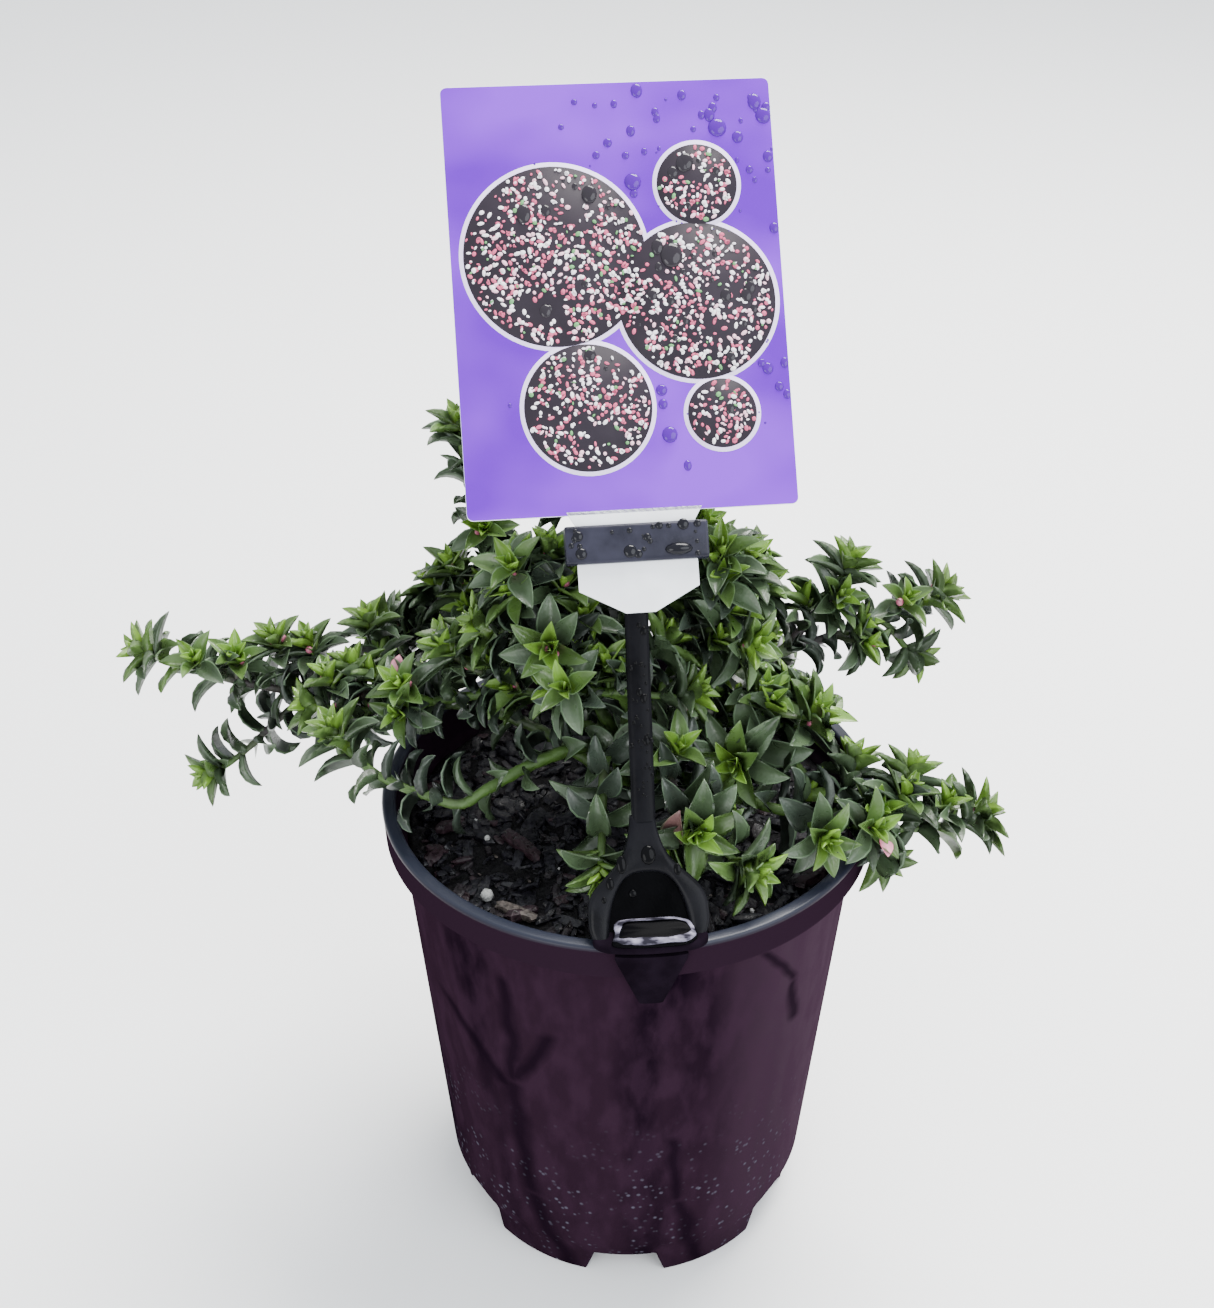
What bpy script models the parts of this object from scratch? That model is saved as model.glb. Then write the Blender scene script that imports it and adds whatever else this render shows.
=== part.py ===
"""A box-leaf waxflower in its nursery pot, as one assembly of separate pieces.

Blender 4.5, metres, +Z up. The origin is the centre of the pot's flat underside. -Y is the side
that the label faces. Sizes below are in millimetres and degrees, and MM turns them into metres.
"""

import math
import random
from typing import NamedTuple

import bmesh
import bpy
import numpy as np
from mathutils import Matrix, Vector
from mathutils.bvhtree import BVHTree

MM = 0.001
GAP = 0.3  # what is left open between two pieces that meet
CLEAR = 0.4  # what a leaf or a twig keeps to every other piece
PAST = 2.0  # how far a cutter runs past what it cuts
SEED = 47

# Pot
POT_HEIGHT = 148.0
POT_RIM_RADIUS = 70.0
POT_WALL = 1.5
POT_SIDES = 40
LIP_DEPTH = 10.0
LIP_WIDTH = 4.0
LIP_ROUND = 0.8
LIP_DRAFT = 0.5
WALL_TOP_RADIUS = 65.3  # outside of the wall, just under the lip
HEEL_RADIUS = 55.6
HEEL_HEIGHT = 17.0
HEEL_EASE = 0.6
FOOT_RADIUS = 52.0
FOOT_HEIGHT = 8.0
FOOT_BEVEL = 1.0
FOOT_DRAFT = 0.5
FOOT_RING = 5.0
CHANNEL_HEIGHT = 9.6  # how far the underside is raised between foot ring and centre disc
CENTRE_DISC_RADIUS = 17.0
FLOOR_HEIGHT = 11.4
NOTCH_COUNT = 6
NOTCH_FOOT_WIDTH = 24.0
NOTCH_TOP_WIDTH = 18.4
NOTCH_HEIGHT = 9.2
DRAIN_COUNT = 6
DRAIN_RADIUS = 4.0
DRAIN_CIRCLE = 34.0
DRAIN_TURN = 8.0  # keeps a drain's corners off the radial edges of the floor

# Potting mix
MIX_TOP = 134.5
MIX_DOME = 1.6
MIX_SIDES = 32

# Label holder, a moulding that sits astride the rim and leans back over the plant
HOLDER_TURN = 5.0  # round the rim from the front, towards +X
HOLDER_LEAN = 35.8
HOLDER_TWIST = 1.7  # the holder sits a little askew on the rim
HOLDER_SWAY = -0.43
CLIP_HALF_TURN = 12.6
CLIP_THICKNESS = 1.7
CLIP_INNER_LEG = 9.0
CLIP_TONGUE = 17.0
TONGUE_HALF_WIDTH = 9.3
TONGUE_SHOULDER = 2.4
TONGUE_TIP_HALF_WIDTH = 3.0
TONGUE_TIP_DEPTH = 1.6
ARCH_HALF_WIDTH = 15.0
ARCH_BAND = 5.2
ARCH_RISE = 24.0
ARCH_FULLNESS = 0.62  # the power that keeps the arch's sides upright before they close in
ARCH_FOOT = -4.0  # the arch is drawn down to here, and cut off level with the clip
POCKET_FOOT = 2.0
ARCH_THICKNESS = 3.8
ARCH_WEB = 1.4
HOLDER_BACK = -3.9  # the moulding's back face, behind the label's middle plane
POCKET_FRONT = 6.0  # in front of the arch, so that the cut is open
STEM_WIDTH = 6.2
STEM_THICKNESS = 3.2
STEM_START = 17.0
STEM_FLARE_END = 26.0
STEM_FLARE = 1.5
STEM_FOOT_CENTRE = 0.4
STEM_TOP_CENTRE = 2.6
JAW_WIDTH = 36.7
JAW_DEPTH = 9.9
JAW_START = 95.2
JAW_FRONT = 2.5
JAW_SLOT_WIDTH = 32.4
JAW_SLOT = 1.3
STEM_IN_JAW = 2.0

# Label
LABEL_CENTRE = 3.2
LABEL_WIDTH = 85.5
LABEL_LENGTH = 112.0
LABEL_START = 107.9
LABEL_THICKNESS = 0.6
LABEL_CORNER = 0.8
TONGUE_WIDE = 35.2
TONGUE_NARROW = 31.0
TONGUE_STEP = 1.2
TONGUE_SLANT_START = 88.4
TONGUE_END = 82.2
TONGUE_END_WIDTH = 7.6

# Plant
TRUNK_FORK = 166.0
TRUNK_RADIUS = 3.1
TRUNK_TAPER = ((0.0, 4.9), (0.06, 4.2), (0.18, 3.35), (0.45, TRUNK_RADIUS), (0.75, 2.85), (1.0, 2.3))
TRUNK_LEAN = (1.5, 0.9)  # how far its tip stands to the right of its foot, and behind it
BOUGH_ROOT_RADIUS = 1.9
BOUGH_TIP_RADIUS = 1.35
BOUGH_SIDES = 5
BOUGH_POINTS = 5
BOUGH_RISE = 38.0  # how steeply a bough leaves the trunk
BOUGH_STEP = 0.1
STEM_ROOT_RADIUS = 1.7
STEM_TIP_RADIUS = 1.2
STEM_SEGMENT = 9.0
TWIG_ROOT_RADIUS = 1.35
TWIG_TIP_RADIUS = 1.0
TWIG_SEGMENT = 8.0
LEAF_LENGTH = 13.8
LEAF_WIDTH = 7.2
LEAF_THICKNESS = 0.9
LEAF_BELLY = 0.46  # share of the length where a leaf is widest
LEAF_ARCH = 0.10
LEAF_CUP = 0.16
LEAF_DROOP = 0.12
LEAF_SPACING = 4.8
LEAF_SINK = 0.4
STEM_FIRST_LEAF = 2.5
TWIG_FIRST_LEAF = 4.0
GOLDEN_ANGLE = 137.5
ROSETTE_LEAVES = 5
ROSETTE_DEPTH = 6.5
ROSETTE_END = 1.0  # what a stem keeps bare at its very tip
ROSETTE_SLIM = 0.8
ROSETTE_OPENING = (62.0, 18.0)  # of its outermost and its innermost leaf, from the stem's direction
ROSETTE_SIZE = (0.92, 0.58)
LEAF_OPENING = (66.0, 52.0)  # at the foot and at the end of a stem
OPENING_PLAY = 7.0
TURN_PLAY = 12.0
LEAF_SIZE_PLAY = (0.86, 1.06)
LEAF_RETRIES = ((0, 1.0), (24, 1.0), (-24, 0.95), (10, 0.75), (-14, 0.6))  # turn and size of each try
START_STEP = 0.2  # how a stem is moved on from its bough's tip until it is clear
START_TRIES = 30


class Bough(NamedTuple):
    """One bare limb: where it leaves the trunk, where its tip is, and how steeply the tip climbs."""

    name: str
    leaves_at: float
    azimuth: float
    reach: float
    height: float
    climb: float


class Side(NamedTuple):
    """A side shoot: the share of its stem where it starts, and where its tip is."""

    share: float
    azimuth: float
    reach: float
    height: float
    climb: float


class Mass(NamedTuple):
    """One mass of foliage: its bough, where its main tip is, its leaf size, and its side shoots."""

    name: str
    bough: str
    azimuth: float
    reach: float
    height: float
    climb: float
    leaf: float
    sides: tuple


BOUGHS = (
    Bough("bough_left_back", 145, 162, 60, 167, 2),
    Bough("bough_front_left", 151, 198, 41, 159, -10),
    Bough("bough_front", 148, 250, 17, 169, -4),
    Bough("bough_front_right", 155, 294, 22, 170, 4),
    Bough("bough_right_front", 149, 325, 44, 160, -8),
    Bough("bough_right", 157, 350, 25, 172, 15),
    Bough("bough_right_back", 150, 30, 48, 176, 8),
    Bough("bough_back_right", 157, 58, 38, 168, 6),
    Bough("bough_back", 150, 90, 40, 174, 10),
    Bough("bough_back_left", 153, 130, 44, 175, 14),
    Bough("bough_left", 157, 170, 28, 175, 14),
    Bough("bough_top_left", 163, 185, 14, 190, 60),
    Bough("bough_top_right", 163, 12, 14, 190, 60),
    Bough("bough_top_front", 160, 262, 10, 184, 50),
    Bough("bough_top_back", 162, 96, 17, 194, 66),
)

MASSES = (
    Mass("foliage_far_left", "bough_left_back", 175, 138, 184, 24, 1.0, (
        Side(0.14, 160, 80, 186, 70),
        Side(0.34, 167, 94, 182, 66),
        Side(0.45, 169, 103, 184, 70),
        Side(0.42, 180, 120, 150, 4),
        Side(0.66, 173, 112, 181, 60),
    )),
    Mass("foliage_left", "bough_left", 177, 90, 171, 8, 1.0, (
        Side(0.45, 181, 63, 182, 55),
        Side(0.72, 172, 79, 181, 60),
    )),
    Mass("foliage_left_upper", "bough_left", 174, 51, 191, 62, 1.0, ()),
    Mass("foliage_front_left", "bough_front_left", 188, 82, 176, 70, 1.05, (
        Side(0.30, 212, 64, 150, -30),
    )),
    Mass("foliage_front", "bough_front", 262, 51, 156, -16, 1.0, (
        Side(0.45, 240, 34, 170, 40),
    )),
    Mass("foliage_front_right", "bough_front_right", 291, 49, 166, 12, 1.15, (
        Side(0.45, 305, 58, 155, 8),
    )),
    Mass("foliage_right_front", "bough_right_front", 346, 100, 157, 14, 1.05, (
        Side(0.16, 322, 66, 160, 10),
        Side(0.30, 347, 63, 168, 80),
        Side(0.42, 339, 75, 143, -50),
        Side(0.55, 347, 79, 167, 50),
        Side(0.50, 337, 73, 160, 20),
    )),
    Mass("foliage_right", "bough_right", 349, 51, 179, 34, 1.25, (
        Side(0.40, 318, 38, 174, 30),
    )),
    Mass("foliage_right_back", "bough_right_back", 21, 97, 192, 34, 1.0, (
        Side(0.40, 23, 73, 185, 66),
        Side(0.62, 20, 90, 172, -12),
    )),
    Mass("foliage_right_back_upper", "bough_right_back", 29, 72, 202, 64, 1.0, (
        Side(0.60, 25, 66, 194, 56),
    )),
    Mass("foliage_top_left", "bough_top_left", 171, 31, 217, 60, 1.2, (
        Side(0.35, 180, 40, 201, 46),
        Side(0.30, 215, 26, 203, 40),
    )),
    Mass("foliage_top_right", "bough_top_right", 10, 30, 218, 64, 1.2, (
        Side(0.30, 351, 33, 199, 44),
        Side(0.35, 40, 30, 208, 50),
    )),
    Mass("foliage_top_front", "bough_top_front", 218, 24, 192, 30, 1.15, (
        Side(0.35, 322, 22, 189, 40),
        Side(0.30, 345, 10, 199, 64),
    )),
    Mass("foliage_top_back", "bough_top_back", 84, 28, 236, 76, 1.1, (
        Side(0.50, 45, 28, 222, 56),
        Side(0.45, 118, 42, 223, 52),
        Side(0.25, 160, 30, 212, 50),
    )),
    Mass("foliage_back_left", "bough_back_left", 141, 74, 187, 60, 1.0, (
        Side(0.40, 135, 68, 185, 70),
        Side(0.45, 150, 86, 174, 40),
    )),
    Mass("foliage_back_left_low", "bough_back_left", 145, 88, 168, 20, 1.0, (
        Side(0.50, 152, 84, 172, 50),
    )),
    Mass("foliage_back_left_upper", "bough_back_left", 130, 78, 233, 84, 0.95, (
        Side(0.48, 133, 62, 206, 60),
        Side(0.62, 124, 74, 215, 60),
    )),
    Mass("foliage_back", "bough_back", 88, 93, 186, 30, 1.05, (
        Side(0.45, 76, 76, 168, 20),
        Side(0.50, 100, 76, 186, 56),
    )),
    Mass("foliage_back_trailing", "bough_back", 116, 92, 136, -46, 1.0, (
        Side(0.50, 108, 80, 168, 40),
    )),
    Mass("foliage_back_right", "bough_back_right", 60, 94, 130, -50, 1.0, (
        Side(0.40, 66, 66, 170, 50),
    )),
    Mass("foliage_back_right_upper", "bough_back_right", 58, 61, 196, 66, 1.05, (
        Side(0.45, 80, 56, 190, 60),
    )),
)


# Meshes, materials and Booleans


def new_material(name, colour, roughness, metallic=0.0):
    material = bpy.data.materials.new(name)
    material.use_nodes = True
    shader = material.node_tree.nodes["Principled BSDF"]
    shader.inputs["Base Color"].default_value = (*colour, 1.0)
    shader.inputs["Roughness"].default_value = roughness
    shader.inputs["Metallic"].default_value = metallic
    return material


def new_object(name, mesh, collection, material=None):
    thing = bpy.data.objects.new(name, mesh)
    collection.objects.link(thing)
    if material:
        mesh.materials.clear()
        mesh.materials.append(material)
    return thing


def mesh_from(bm, name):
    """The bmesh as a mesh with its faces pointing out, which a positive volume shows."""
    if bm.calc_volume(signed=True) < 0:
        bmesh.ops.reverse_faces(bm, faces=bm.faces)
    mesh = bpy.data.meshes.new(name)
    bm.to_mesh(mesh)
    bm.free()
    return mesh


def evaluated_mesh(thing):
    bpy.context.view_layer.update()
    graph = bpy.context.evaluated_depsgraph_get()
    return bpy.data.meshes.new_from_object(thing.evaluated_get(graph))


def as_helper(thing):
    thing.hide_render = True
    thing.display_type = "WIRE"
    return thing


def add_boolean(thing, operation, other=None, collection=None, solver="EXACT"):
    modifier = thing.modifiers.new(operation.title(), "BOOLEAN")
    modifier.operation = operation
    modifier.solver = solver
    if collection:
        modifier.operand_type = "COLLECTION"
        modifier.collection = collection
    else:
        modifier.object = other
    return modifier


def turned(name, profile, sides, collection, material=None):
    """A profile of (radius, height) points in millimetres, turned round the Z axis."""
    mesh = bpy.data.meshes.new(name)
    points = [(radius * MM, 0.0, height * MM) for radius, height in profile]
    mesh.from_pydata(points, [(i, i + 1) for i in range(len(points) - 1)], [])
    thing = new_object(name, mesh, collection, material)
    screw = thing.modifiers.new("Turn", "SCREW")
    screw.steps = sides
    screw.render_steps = sides
    screw.use_merge_vertices = True
    screw.merge_threshold = 0.00001
    screw.use_smooth_shade = True
    return thing


def arc(centre, radius, start, end, count):
    """Points of a circular arc, as (x, y) pairs, angles in degrees."""
    angles = np.radians(np.linspace(start, end, count))
    return [(centre[0] + radius * math.cos(a), centre[1] + radius * math.sin(a)) for a in angles]


def extruded(name, outline, thickness, middle, collection):
    """A flat outline of (x, z) points in millimetres, given a thickness along Y round a middle plane."""
    curve = bpy.data.curves.new(name, "CURVE")
    curve.dimensions = "2D"
    curve.fill_mode = "BOTH"
    curve.extrude = thickness / 2 * MM
    spline = curve.splines.new("POLY")
    spline.points.add(len(outline) - 1)
    for point, (x, z) in zip(spline.points, outline):
        point.co = (x * MM, z * MM, 0.0, 1.0)
    spline.use_cyclic_u = True
    flat = new_object(name + "_outline", curve, collection)
    flat.matrix_world = Matrix.Translation((0, middle * MM, 0)) @ Matrix.Rotation(math.pi / 2, 4, "X")
    return mesh_of_curve(flat, name, collection)


def mesh_of_curve(flat, name, collection):
    """The curve object made a mesh, its caps welded on, in the curve's own place."""
    mesh = evaluated_mesh(flat)
    bm = bmesh.new()
    bm.from_mesh(mesh)
    bmesh.ops.remove_doubles(bm, verts=bm.verts, dist=0.000001)
    bmesh.ops.transform(bm, matrix=flat.matrix_world, verts=bm.verts)
    bmesh.ops.recalc_face_normals(bm, faces=bm.faces)
    bm.to_mesh(mesh)
    bm.free()
    mesh.name = name
    bpy.data.objects.remove(flat)
    return new_object(name, mesh, collection)


def box(name, low, high, collection):
    """A box between two corners in millimetres."""
    bm = bmesh.new()
    bmesh.ops.create_cube(bm, size=1.0)
    size = [(b - a) * MM for a, b in zip(low, high)]
    middle = Vector([(a + b) / 2 * MM for a, b in zip(low, high)])
    bmesh.ops.scale(bm, vec=size, verts=bm.verts)
    bmesh.ops.translate(bm, vec=middle, verts=bm.verts)
    return new_object(name, mesh_from(bm, name), collection)


# Pot and potting mix


def inner_wall_radius(height):
    """Inside radius of the pot's wall at a height between its heel and its lip."""
    share = (height - HEEL_HEIGHT) / (POT_HEIGHT - LIP_DEPTH - HEEL_HEIGHT)
    return HEEL_RADIUS + share * (WALL_TOP_RADIUS - HEEL_RADIUS) - POT_WALL


def pot_profile():
    """Along the floor, up the inside, over the lip, down the outside and back under the foot."""
    lip_inner = POT_RIM_RADIUS - LIP_WIDTH
    lip_foot = POT_HEIGHT - LIP_DEPTH
    round_top = POT_HEIGHT - LIP_ROUND
    inside = [
        (0.0, FLOOR_HEIGHT),
        (FOOT_RADIUS - POT_WALL, FLOOR_HEIGHT),
        (inner_wall_radius(HEEL_HEIGHT), HEEL_HEIGHT + HEEL_EASE),
        (inner_wall_radius(lip_foot), lip_foot),
    ]
    inside += arc((lip_inner + LIP_ROUND, round_top), LIP_ROUND, 180, 90, 3)
    lip = arc((POT_RIM_RADIUS - LIP_ROUND, round_top), LIP_ROUND, 90, 0, 3)
    lip += [(POT_RIM_RADIUS - LIP_DRAFT, lip_foot), (WALL_TOP_RADIUS, lip_foot - LIP_DRAFT)]
    foot = [
        (HEEL_RADIUS, HEEL_HEIGHT),
        (FOOT_RADIUS + FOOT_DRAFT, FOOT_HEIGHT),
        (FOOT_RADIUS, FOOT_BEVEL),
        (FOOT_RADIUS - FOOT_BEVEL, 0.0),
        (FOOT_RADIUS - FOOT_RING, 0.0),
        (FOOT_RADIUS - FOOT_RING - FOOT_DRAFT, CHANNEL_HEIGHT),
        (CENTRE_DISC_RADIUS + FOOT_DRAFT, CHANNEL_HEIGHT),
        (CENTRE_DISC_RADIUS, 0.0),
        (0.0, 0.0),
    ]
    return inside + lip + foot


def make_pot(parts, cutters):
    plastic = new_material("pot_plastic", (0.045, 0.028, 0.036), 0.35)
    pot = turned("pot", pot_profile(), POT_SIDES, parts, plastic)
    half_foot = NOTCH_FOOT_WIDTH / 2
    half_top = NOTCH_TOP_WIDTH / 2
    outline = [(-half_foot, -1.0), (half_foot, -1.0), (half_foot, 0.0), (half_top, NOTCH_HEIGHT)]
    outline += [(-half_top, NOTCH_HEIGHT), (-half_foot, 0.0)]
    for i in range(NOTCH_COUNT):
        notch = extruded(f"notch_{i}", outline, 3.0 * FOOT_RING, -FOOT_RADIUS, cutters)
        notch.rotation_euler.z = math.tau * i / NOTCH_COUNT
        add_boolean(pot, "DIFFERENCE", as_helper(notch))
    for i in range(DRAIN_COUNT):
        bm = bmesh.new()
        size = DRAIN_RADIUS * MM
        length = 2 * FLOOR_HEIGHT * MM
        bmesh.ops.create_cone(bm, cap_ends=True, segments=12, radius1=size, radius2=size, depth=length)
        drain = new_object(f"drain_{i}", mesh_from(bm, f"drain_{i}"), cutters)
        drain.location = polar(360 * (i + 0.5) / DRAIN_COUNT, DRAIN_CIRCLE, CHANNEL_HEIGHT) * MM
        drain.rotation_euler.z = math.radians(DRAIN_TURN)
        add_boolean(pot, "DIFFERENCE", as_helper(drain))
    return pot


def make_mix(parts):
    floor = FLOOR_HEIGHT + GAP
    lowest = FOOT_RADIUS - POT_WALL - 2 * GAP
    heel = inner_wall_radius(HEEL_HEIGHT) - GAP
    profile = [
        (0.0, MIX_TOP + MIX_DOME),
        (0.5 * WALL_TOP_RADIUS, MIX_TOP + 0.8 * MIX_DOME),
        (inner_wall_radius(MIX_TOP) - GAP, MIX_TOP),
        (heel, HEEL_HEIGHT + HEEL_EASE),
        (lowest, floor),
        (0.0, floor),
    ]
    bark = new_material("bark_mix", (0.02, 0.015, 0.014), 0.9)
    return turned("potting_mix", profile, MIX_SIDES, parts, bark)


# Label and its holder


def holder_place():
    """From the holder's own frame, X along the rim and Z up the label, to the pot's."""
    turn = Matrix.Rotation(math.radians(HOLDER_TURN), 4, "Z")
    seat = Matrix.Translation((0, -(POT_RIM_RADIUS - 0.5 * LIP_WIDTH - 0.5) * MM, (POT_HEIGHT + 2.0) * MM))
    twist = Matrix.Rotation(math.radians(HOLDER_TWIST), 4, "Z")
    lean = Matrix.Rotation(math.radians(-HOLDER_LEAN), 4, "X")
    sway = Matrix.Rotation(math.radians(HOLDER_SWAY), 4, "Y")
    return turn @ seat @ twist @ lean @ sway


def make_rim_clip(joined):
    """The saddle: a channel astride the lip, turned about the pot's axis, with a pointed outer tongue."""
    inner = POT_RIM_RADIUS - LIP_WIDTH - GAP
    outer = POT_RIM_RADIUS + GAP
    top = POT_HEIGHT + GAP
    leg_foot = top - CLIP_INNER_LEG
    leg_radius = inner_wall_radius(POT_HEIGHT - LIP_DEPTH) - GAP
    section = [
        (leg_radius - CLIP_THICKNESS, leg_foot),
        (leg_radius, leg_foot),
        (inner, top),
        (outer, top),
        (outer, top - CLIP_TONGUE),
        (outer + CLIP_THICKNESS, top - CLIP_TONGUE),
        (outer + CLIP_THICKNESS, top + 0.6 * CLIP_THICKNESS),
        (outer + 0.6 * CLIP_THICKNESS, top + CLIP_THICKNESS),
        (inner - CLIP_THICKNESS, top + CLIP_THICKNESS),
    ]
    bm = bmesh.new()
    corners = [bm.verts.new((radius * MM, 0.0, height * MM)) for radius, height in section]
    face = bm.faces.new(corners)
    start = math.radians(270 + HOLDER_TURN - CLIP_HALF_TURN)
    bmesh.ops.rotate(bm, cent=(0, 0, 0), matrix=Matrix.Rotation(start, 3, "Z"), verts=bm.verts)
    bmesh.ops.spin(
        bm, geom=[face, *face.edges, *face.verts], cent=(0, 0, 0), axis=(0, 0, 1),
        angle=math.radians(2 * CLIP_HALF_TURN), steps=8, use_duplicate=False,
    )
    return new_object("rim_clip", mesh_from(bm, "rim_clip"), joined)


def tongue_corner(side, cutters):
    """The wedge that cuts one lower corner off the outer tongue."""
    low = POT_HEIGHT - CLIP_TONGUE - PAST
    tip = POT_HEIGHT - CLIP_TONGUE + TONGUE_TIP_DEPTH
    beyond = 2.0 * TONGUE_HALF_WIDTH
    outline = [
        (side * TONGUE_TIP_HALF_WIDTH, low),
        (side * beyond, low),
        (side * beyond, POT_HEIGHT + GAP),
        (side * TONGUE_HALF_WIDTH, POT_HEIGHT + GAP),
        (side * TONGUE_HALF_WIDTH, POT_HEIGHT - TONGUE_SHOULDER),
        (side * TONGUE_TIP_HALF_WIDTH, tip),
    ]
    middle = -(POT_RIM_RADIUS + CLIP_THICKNESS)
    corner = extruded(f"tongue_corner_{side}", outline, 5.6 * CLIP_THICKNESS, middle, cutters)
    corner.rotation_euler.z = math.radians(HOLDER_TURN)
    return as_helper(corner)


def arch_outline(inset, foot):
    """An arch that stands on a straight foot, its sides and top drawn inwards by an inset."""
    half = ARCH_HALF_WIDTH - inset
    rise = ARCH_RISE - inset - foot
    right = [
        (half * math.cos(a) ** ARCH_FULLNESS, foot + rise * math.sin(a))
        for a in np.radians(np.linspace(0, 82, 8))
    ]
    left = [(-x, z) for x, z in reversed(right)]
    return right + left


def make_holder(parts, cutters):
    place = holder_place()
    joined = bpy.data.collections.new("holder_pieces")
    bpy.context.scene.collection.children.link(joined)
    back = HOLDER_BACK

    outline = arch_outline(0.0, ARCH_FOOT)
    arch = extruded("arch", outline, ARCH_THICKNESS, -(back + ARCH_THICKNESS / 2), joined)
    pocket_back = back + ARCH_WEB
    pocket = extruded(
        "arch_pocket", arch_outline(ARCH_BAND, POCKET_FOOT), POCKET_FRONT - pocket_back,
        -(POCKET_FRONT + pocket_back) / 2, cutters,
    )
    half = STEM_WIDTH / 2
    stem_outline = [
        (STEM_FOOT_CENTRE - half - STEM_FLARE, STEM_START),
        (STEM_FOOT_CENTRE + half + STEM_FLARE, STEM_START),
        (STEM_FOOT_CENTRE + half, STEM_FLARE_END),
        (STEM_TOP_CENTRE + half, JAW_START + STEM_IN_JAW),
        (STEM_TOP_CENTRE - half, JAW_START + STEM_IN_JAW),
        (STEM_FOOT_CENTRE - half, STEM_FLARE_END),
    ]
    stem = extruded("stem", stem_outline, STEM_THICKNESS, -(back + STEM_THICKNESS / 2), joined)
    half_jaw = JAW_WIDTH / 2
    jaw = box(
        "jaw", (LABEL_CENTRE - half_jaw, -JAW_FRONT, JAW_START),
        (LABEL_CENTRE + half_jaw, -back, JAW_START + JAW_DEPTH), joined,
    )
    foot_cut = box(
        "arch_foot_cut", (-POT_RIM_RADIUS, -1.5 * POT_RIM_RADIUS, POT_HEIGHT - CLIP_TONGUE),
        (POT_RIM_RADIUS, 0.0, POT_HEIGHT + GAP + 0.5 * CLIP_THICKNESS), cutters,
    )
    half_slot = JAW_SLOT_WIDTH / 2
    slot = box(
        "jaw_slot", (LABEL_CENTRE - half_slot, -JAW_SLOT / 2, JAW_START - PAST),
        (LABEL_CENTRE + half_slot, JAW_SLOT / 2, JAW_START + JAW_DEPTH + PAST), cutters,
    )
    for piece in (arch, stem, jaw, pocket, slot):
        piece.data.transform(place)
    clip = make_rim_clip(joined)
    for side in (-1, 1):
        add_boolean(clip, "DIFFERENCE", tongue_corner(side, cutters))
    add_boolean(arch, "DIFFERENCE", as_helper(pocket))
    add_boolean(arch, "DIFFERENCE", as_helper(foot_cut))
    add_boolean(jaw, "DIFFERENCE", as_helper(slot))
    for piece in (clip, arch, jaw):
        piece.data = evaluated_mesh(piece)
        piece.modifiers.clear()
    holder = new_object("label_holder", stem.data, parts)
    joined.objects.unlink(stem)
    fuse(holder, joined)
    holder.data.materials.clear()
    holder.data.materials.append(new_material("holder_plastic", (0.02, 0.021, 0.025), 0.3))
    return holder


def make_label(parts):
    half = LABEL_WIDTH / 2
    top = LABEL_START + LABEL_LENGTH
    low = LABEL_START
    corner = LABEL_CORNER
    outline = arc((half - corner, top - corner), corner, 0, 90, 4)
    outline += arc((-half + corner, top - corner), corner, 90, 180, 4)
    outline += arc((-half + corner, low + corner), corner, 180, 270, 4)
    seat = JAW_START + JAW_DEPTH + GAP
    tongue = [
        (-TONGUE_WIDE / 2, low),
        (-TONGUE_WIDE / 2 + TONGUE_STEP, seat + GAP),
        (-TONGUE_NARROW / 2, seat),
        (-TONGUE_NARROW / 2, TONGUE_SLANT_START),
        (-TONGUE_END_WIDTH / 2, TONGUE_END),
    ]
    outline += tongue
    outline += [(-x, z) for x, z in reversed(tongue)]
    outline += arc((half - corner, low + corner), corner, 270, 360, 4)
    outline = [(x + LABEL_CENTRE, z) for x, z in outline]
    label = extruded("label_card", outline, LABEL_THICKNESS, 0.0, parts)
    label.data.transform(holder_place())
    label.data.materials.append(new_material("label_print", (0.26, 0.12, 0.9), 0.4))
    return label


# Limbs


def polar(azimuth, reach, height):
    angle = math.radians(azimuth)
    return Vector((reach * math.cos(angle), reach * math.sin(angle), height))


def heading(azimuth, climb):
    """A unit direction from its azimuth and its climb above the level."""
    level = math.radians(climb)
    return Vector((*(math.cos(level) * v for v in polar(azimuth, 1.0, 0.0).xy), math.sin(level)))


def bend(start, leaving, end, arriving, count):
    """Points along a cubic curve that leaves and arrives in the directions given."""
    handle = (end - start).length / 3
    first = start + leaving * handle
    second = end - arriving * handle
    points = []
    for t in np.linspace(0, 1, count):
        s = 1 - t
        points.append(start * s**3 + first * (3 * s * s * t) + second * (3 * s * t * t) + end * t**3)
    return points


def along(points, distance):
    """Place and direction at a distance along a path."""
    for a, b in zip(points, points[1:]):
        step = (b - a).length
        if distance <= step or b is points[-1]:
            return a + (b - a) * (distance / step), (b - a).normalized()
        distance -= step
    raise ValueError("the path has one point")


def blend(ends, share):
    """The value at a share of the way from the first end to the second."""
    return ends[0] + (ends[1] - ends[0]) * share


def path_length(points):
    return sum((b - a).length for a, b in zip(points, points[1:]))


def ring_curve(name, sides, helpers):
    """A regular polygon of radius 1 mm, which a limb's curve is given as its section."""
    curve = bpy.data.curves.new(name, "CURVE")
    curve.dimensions = "2D"
    curve.fill_mode = "NONE"
    spline = curve.splines.new("POLY")
    spline.points.add(sides - 1)
    for i, point in enumerate(spline.points):
        angle = math.tau * i / sides
        point.co = (MM * math.cos(angle), MM * math.sin(angle), 0.0, 1.0)
    spline.use_cyclic_u = True
    return as_helper(new_object(name, curve, helpers))


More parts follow.
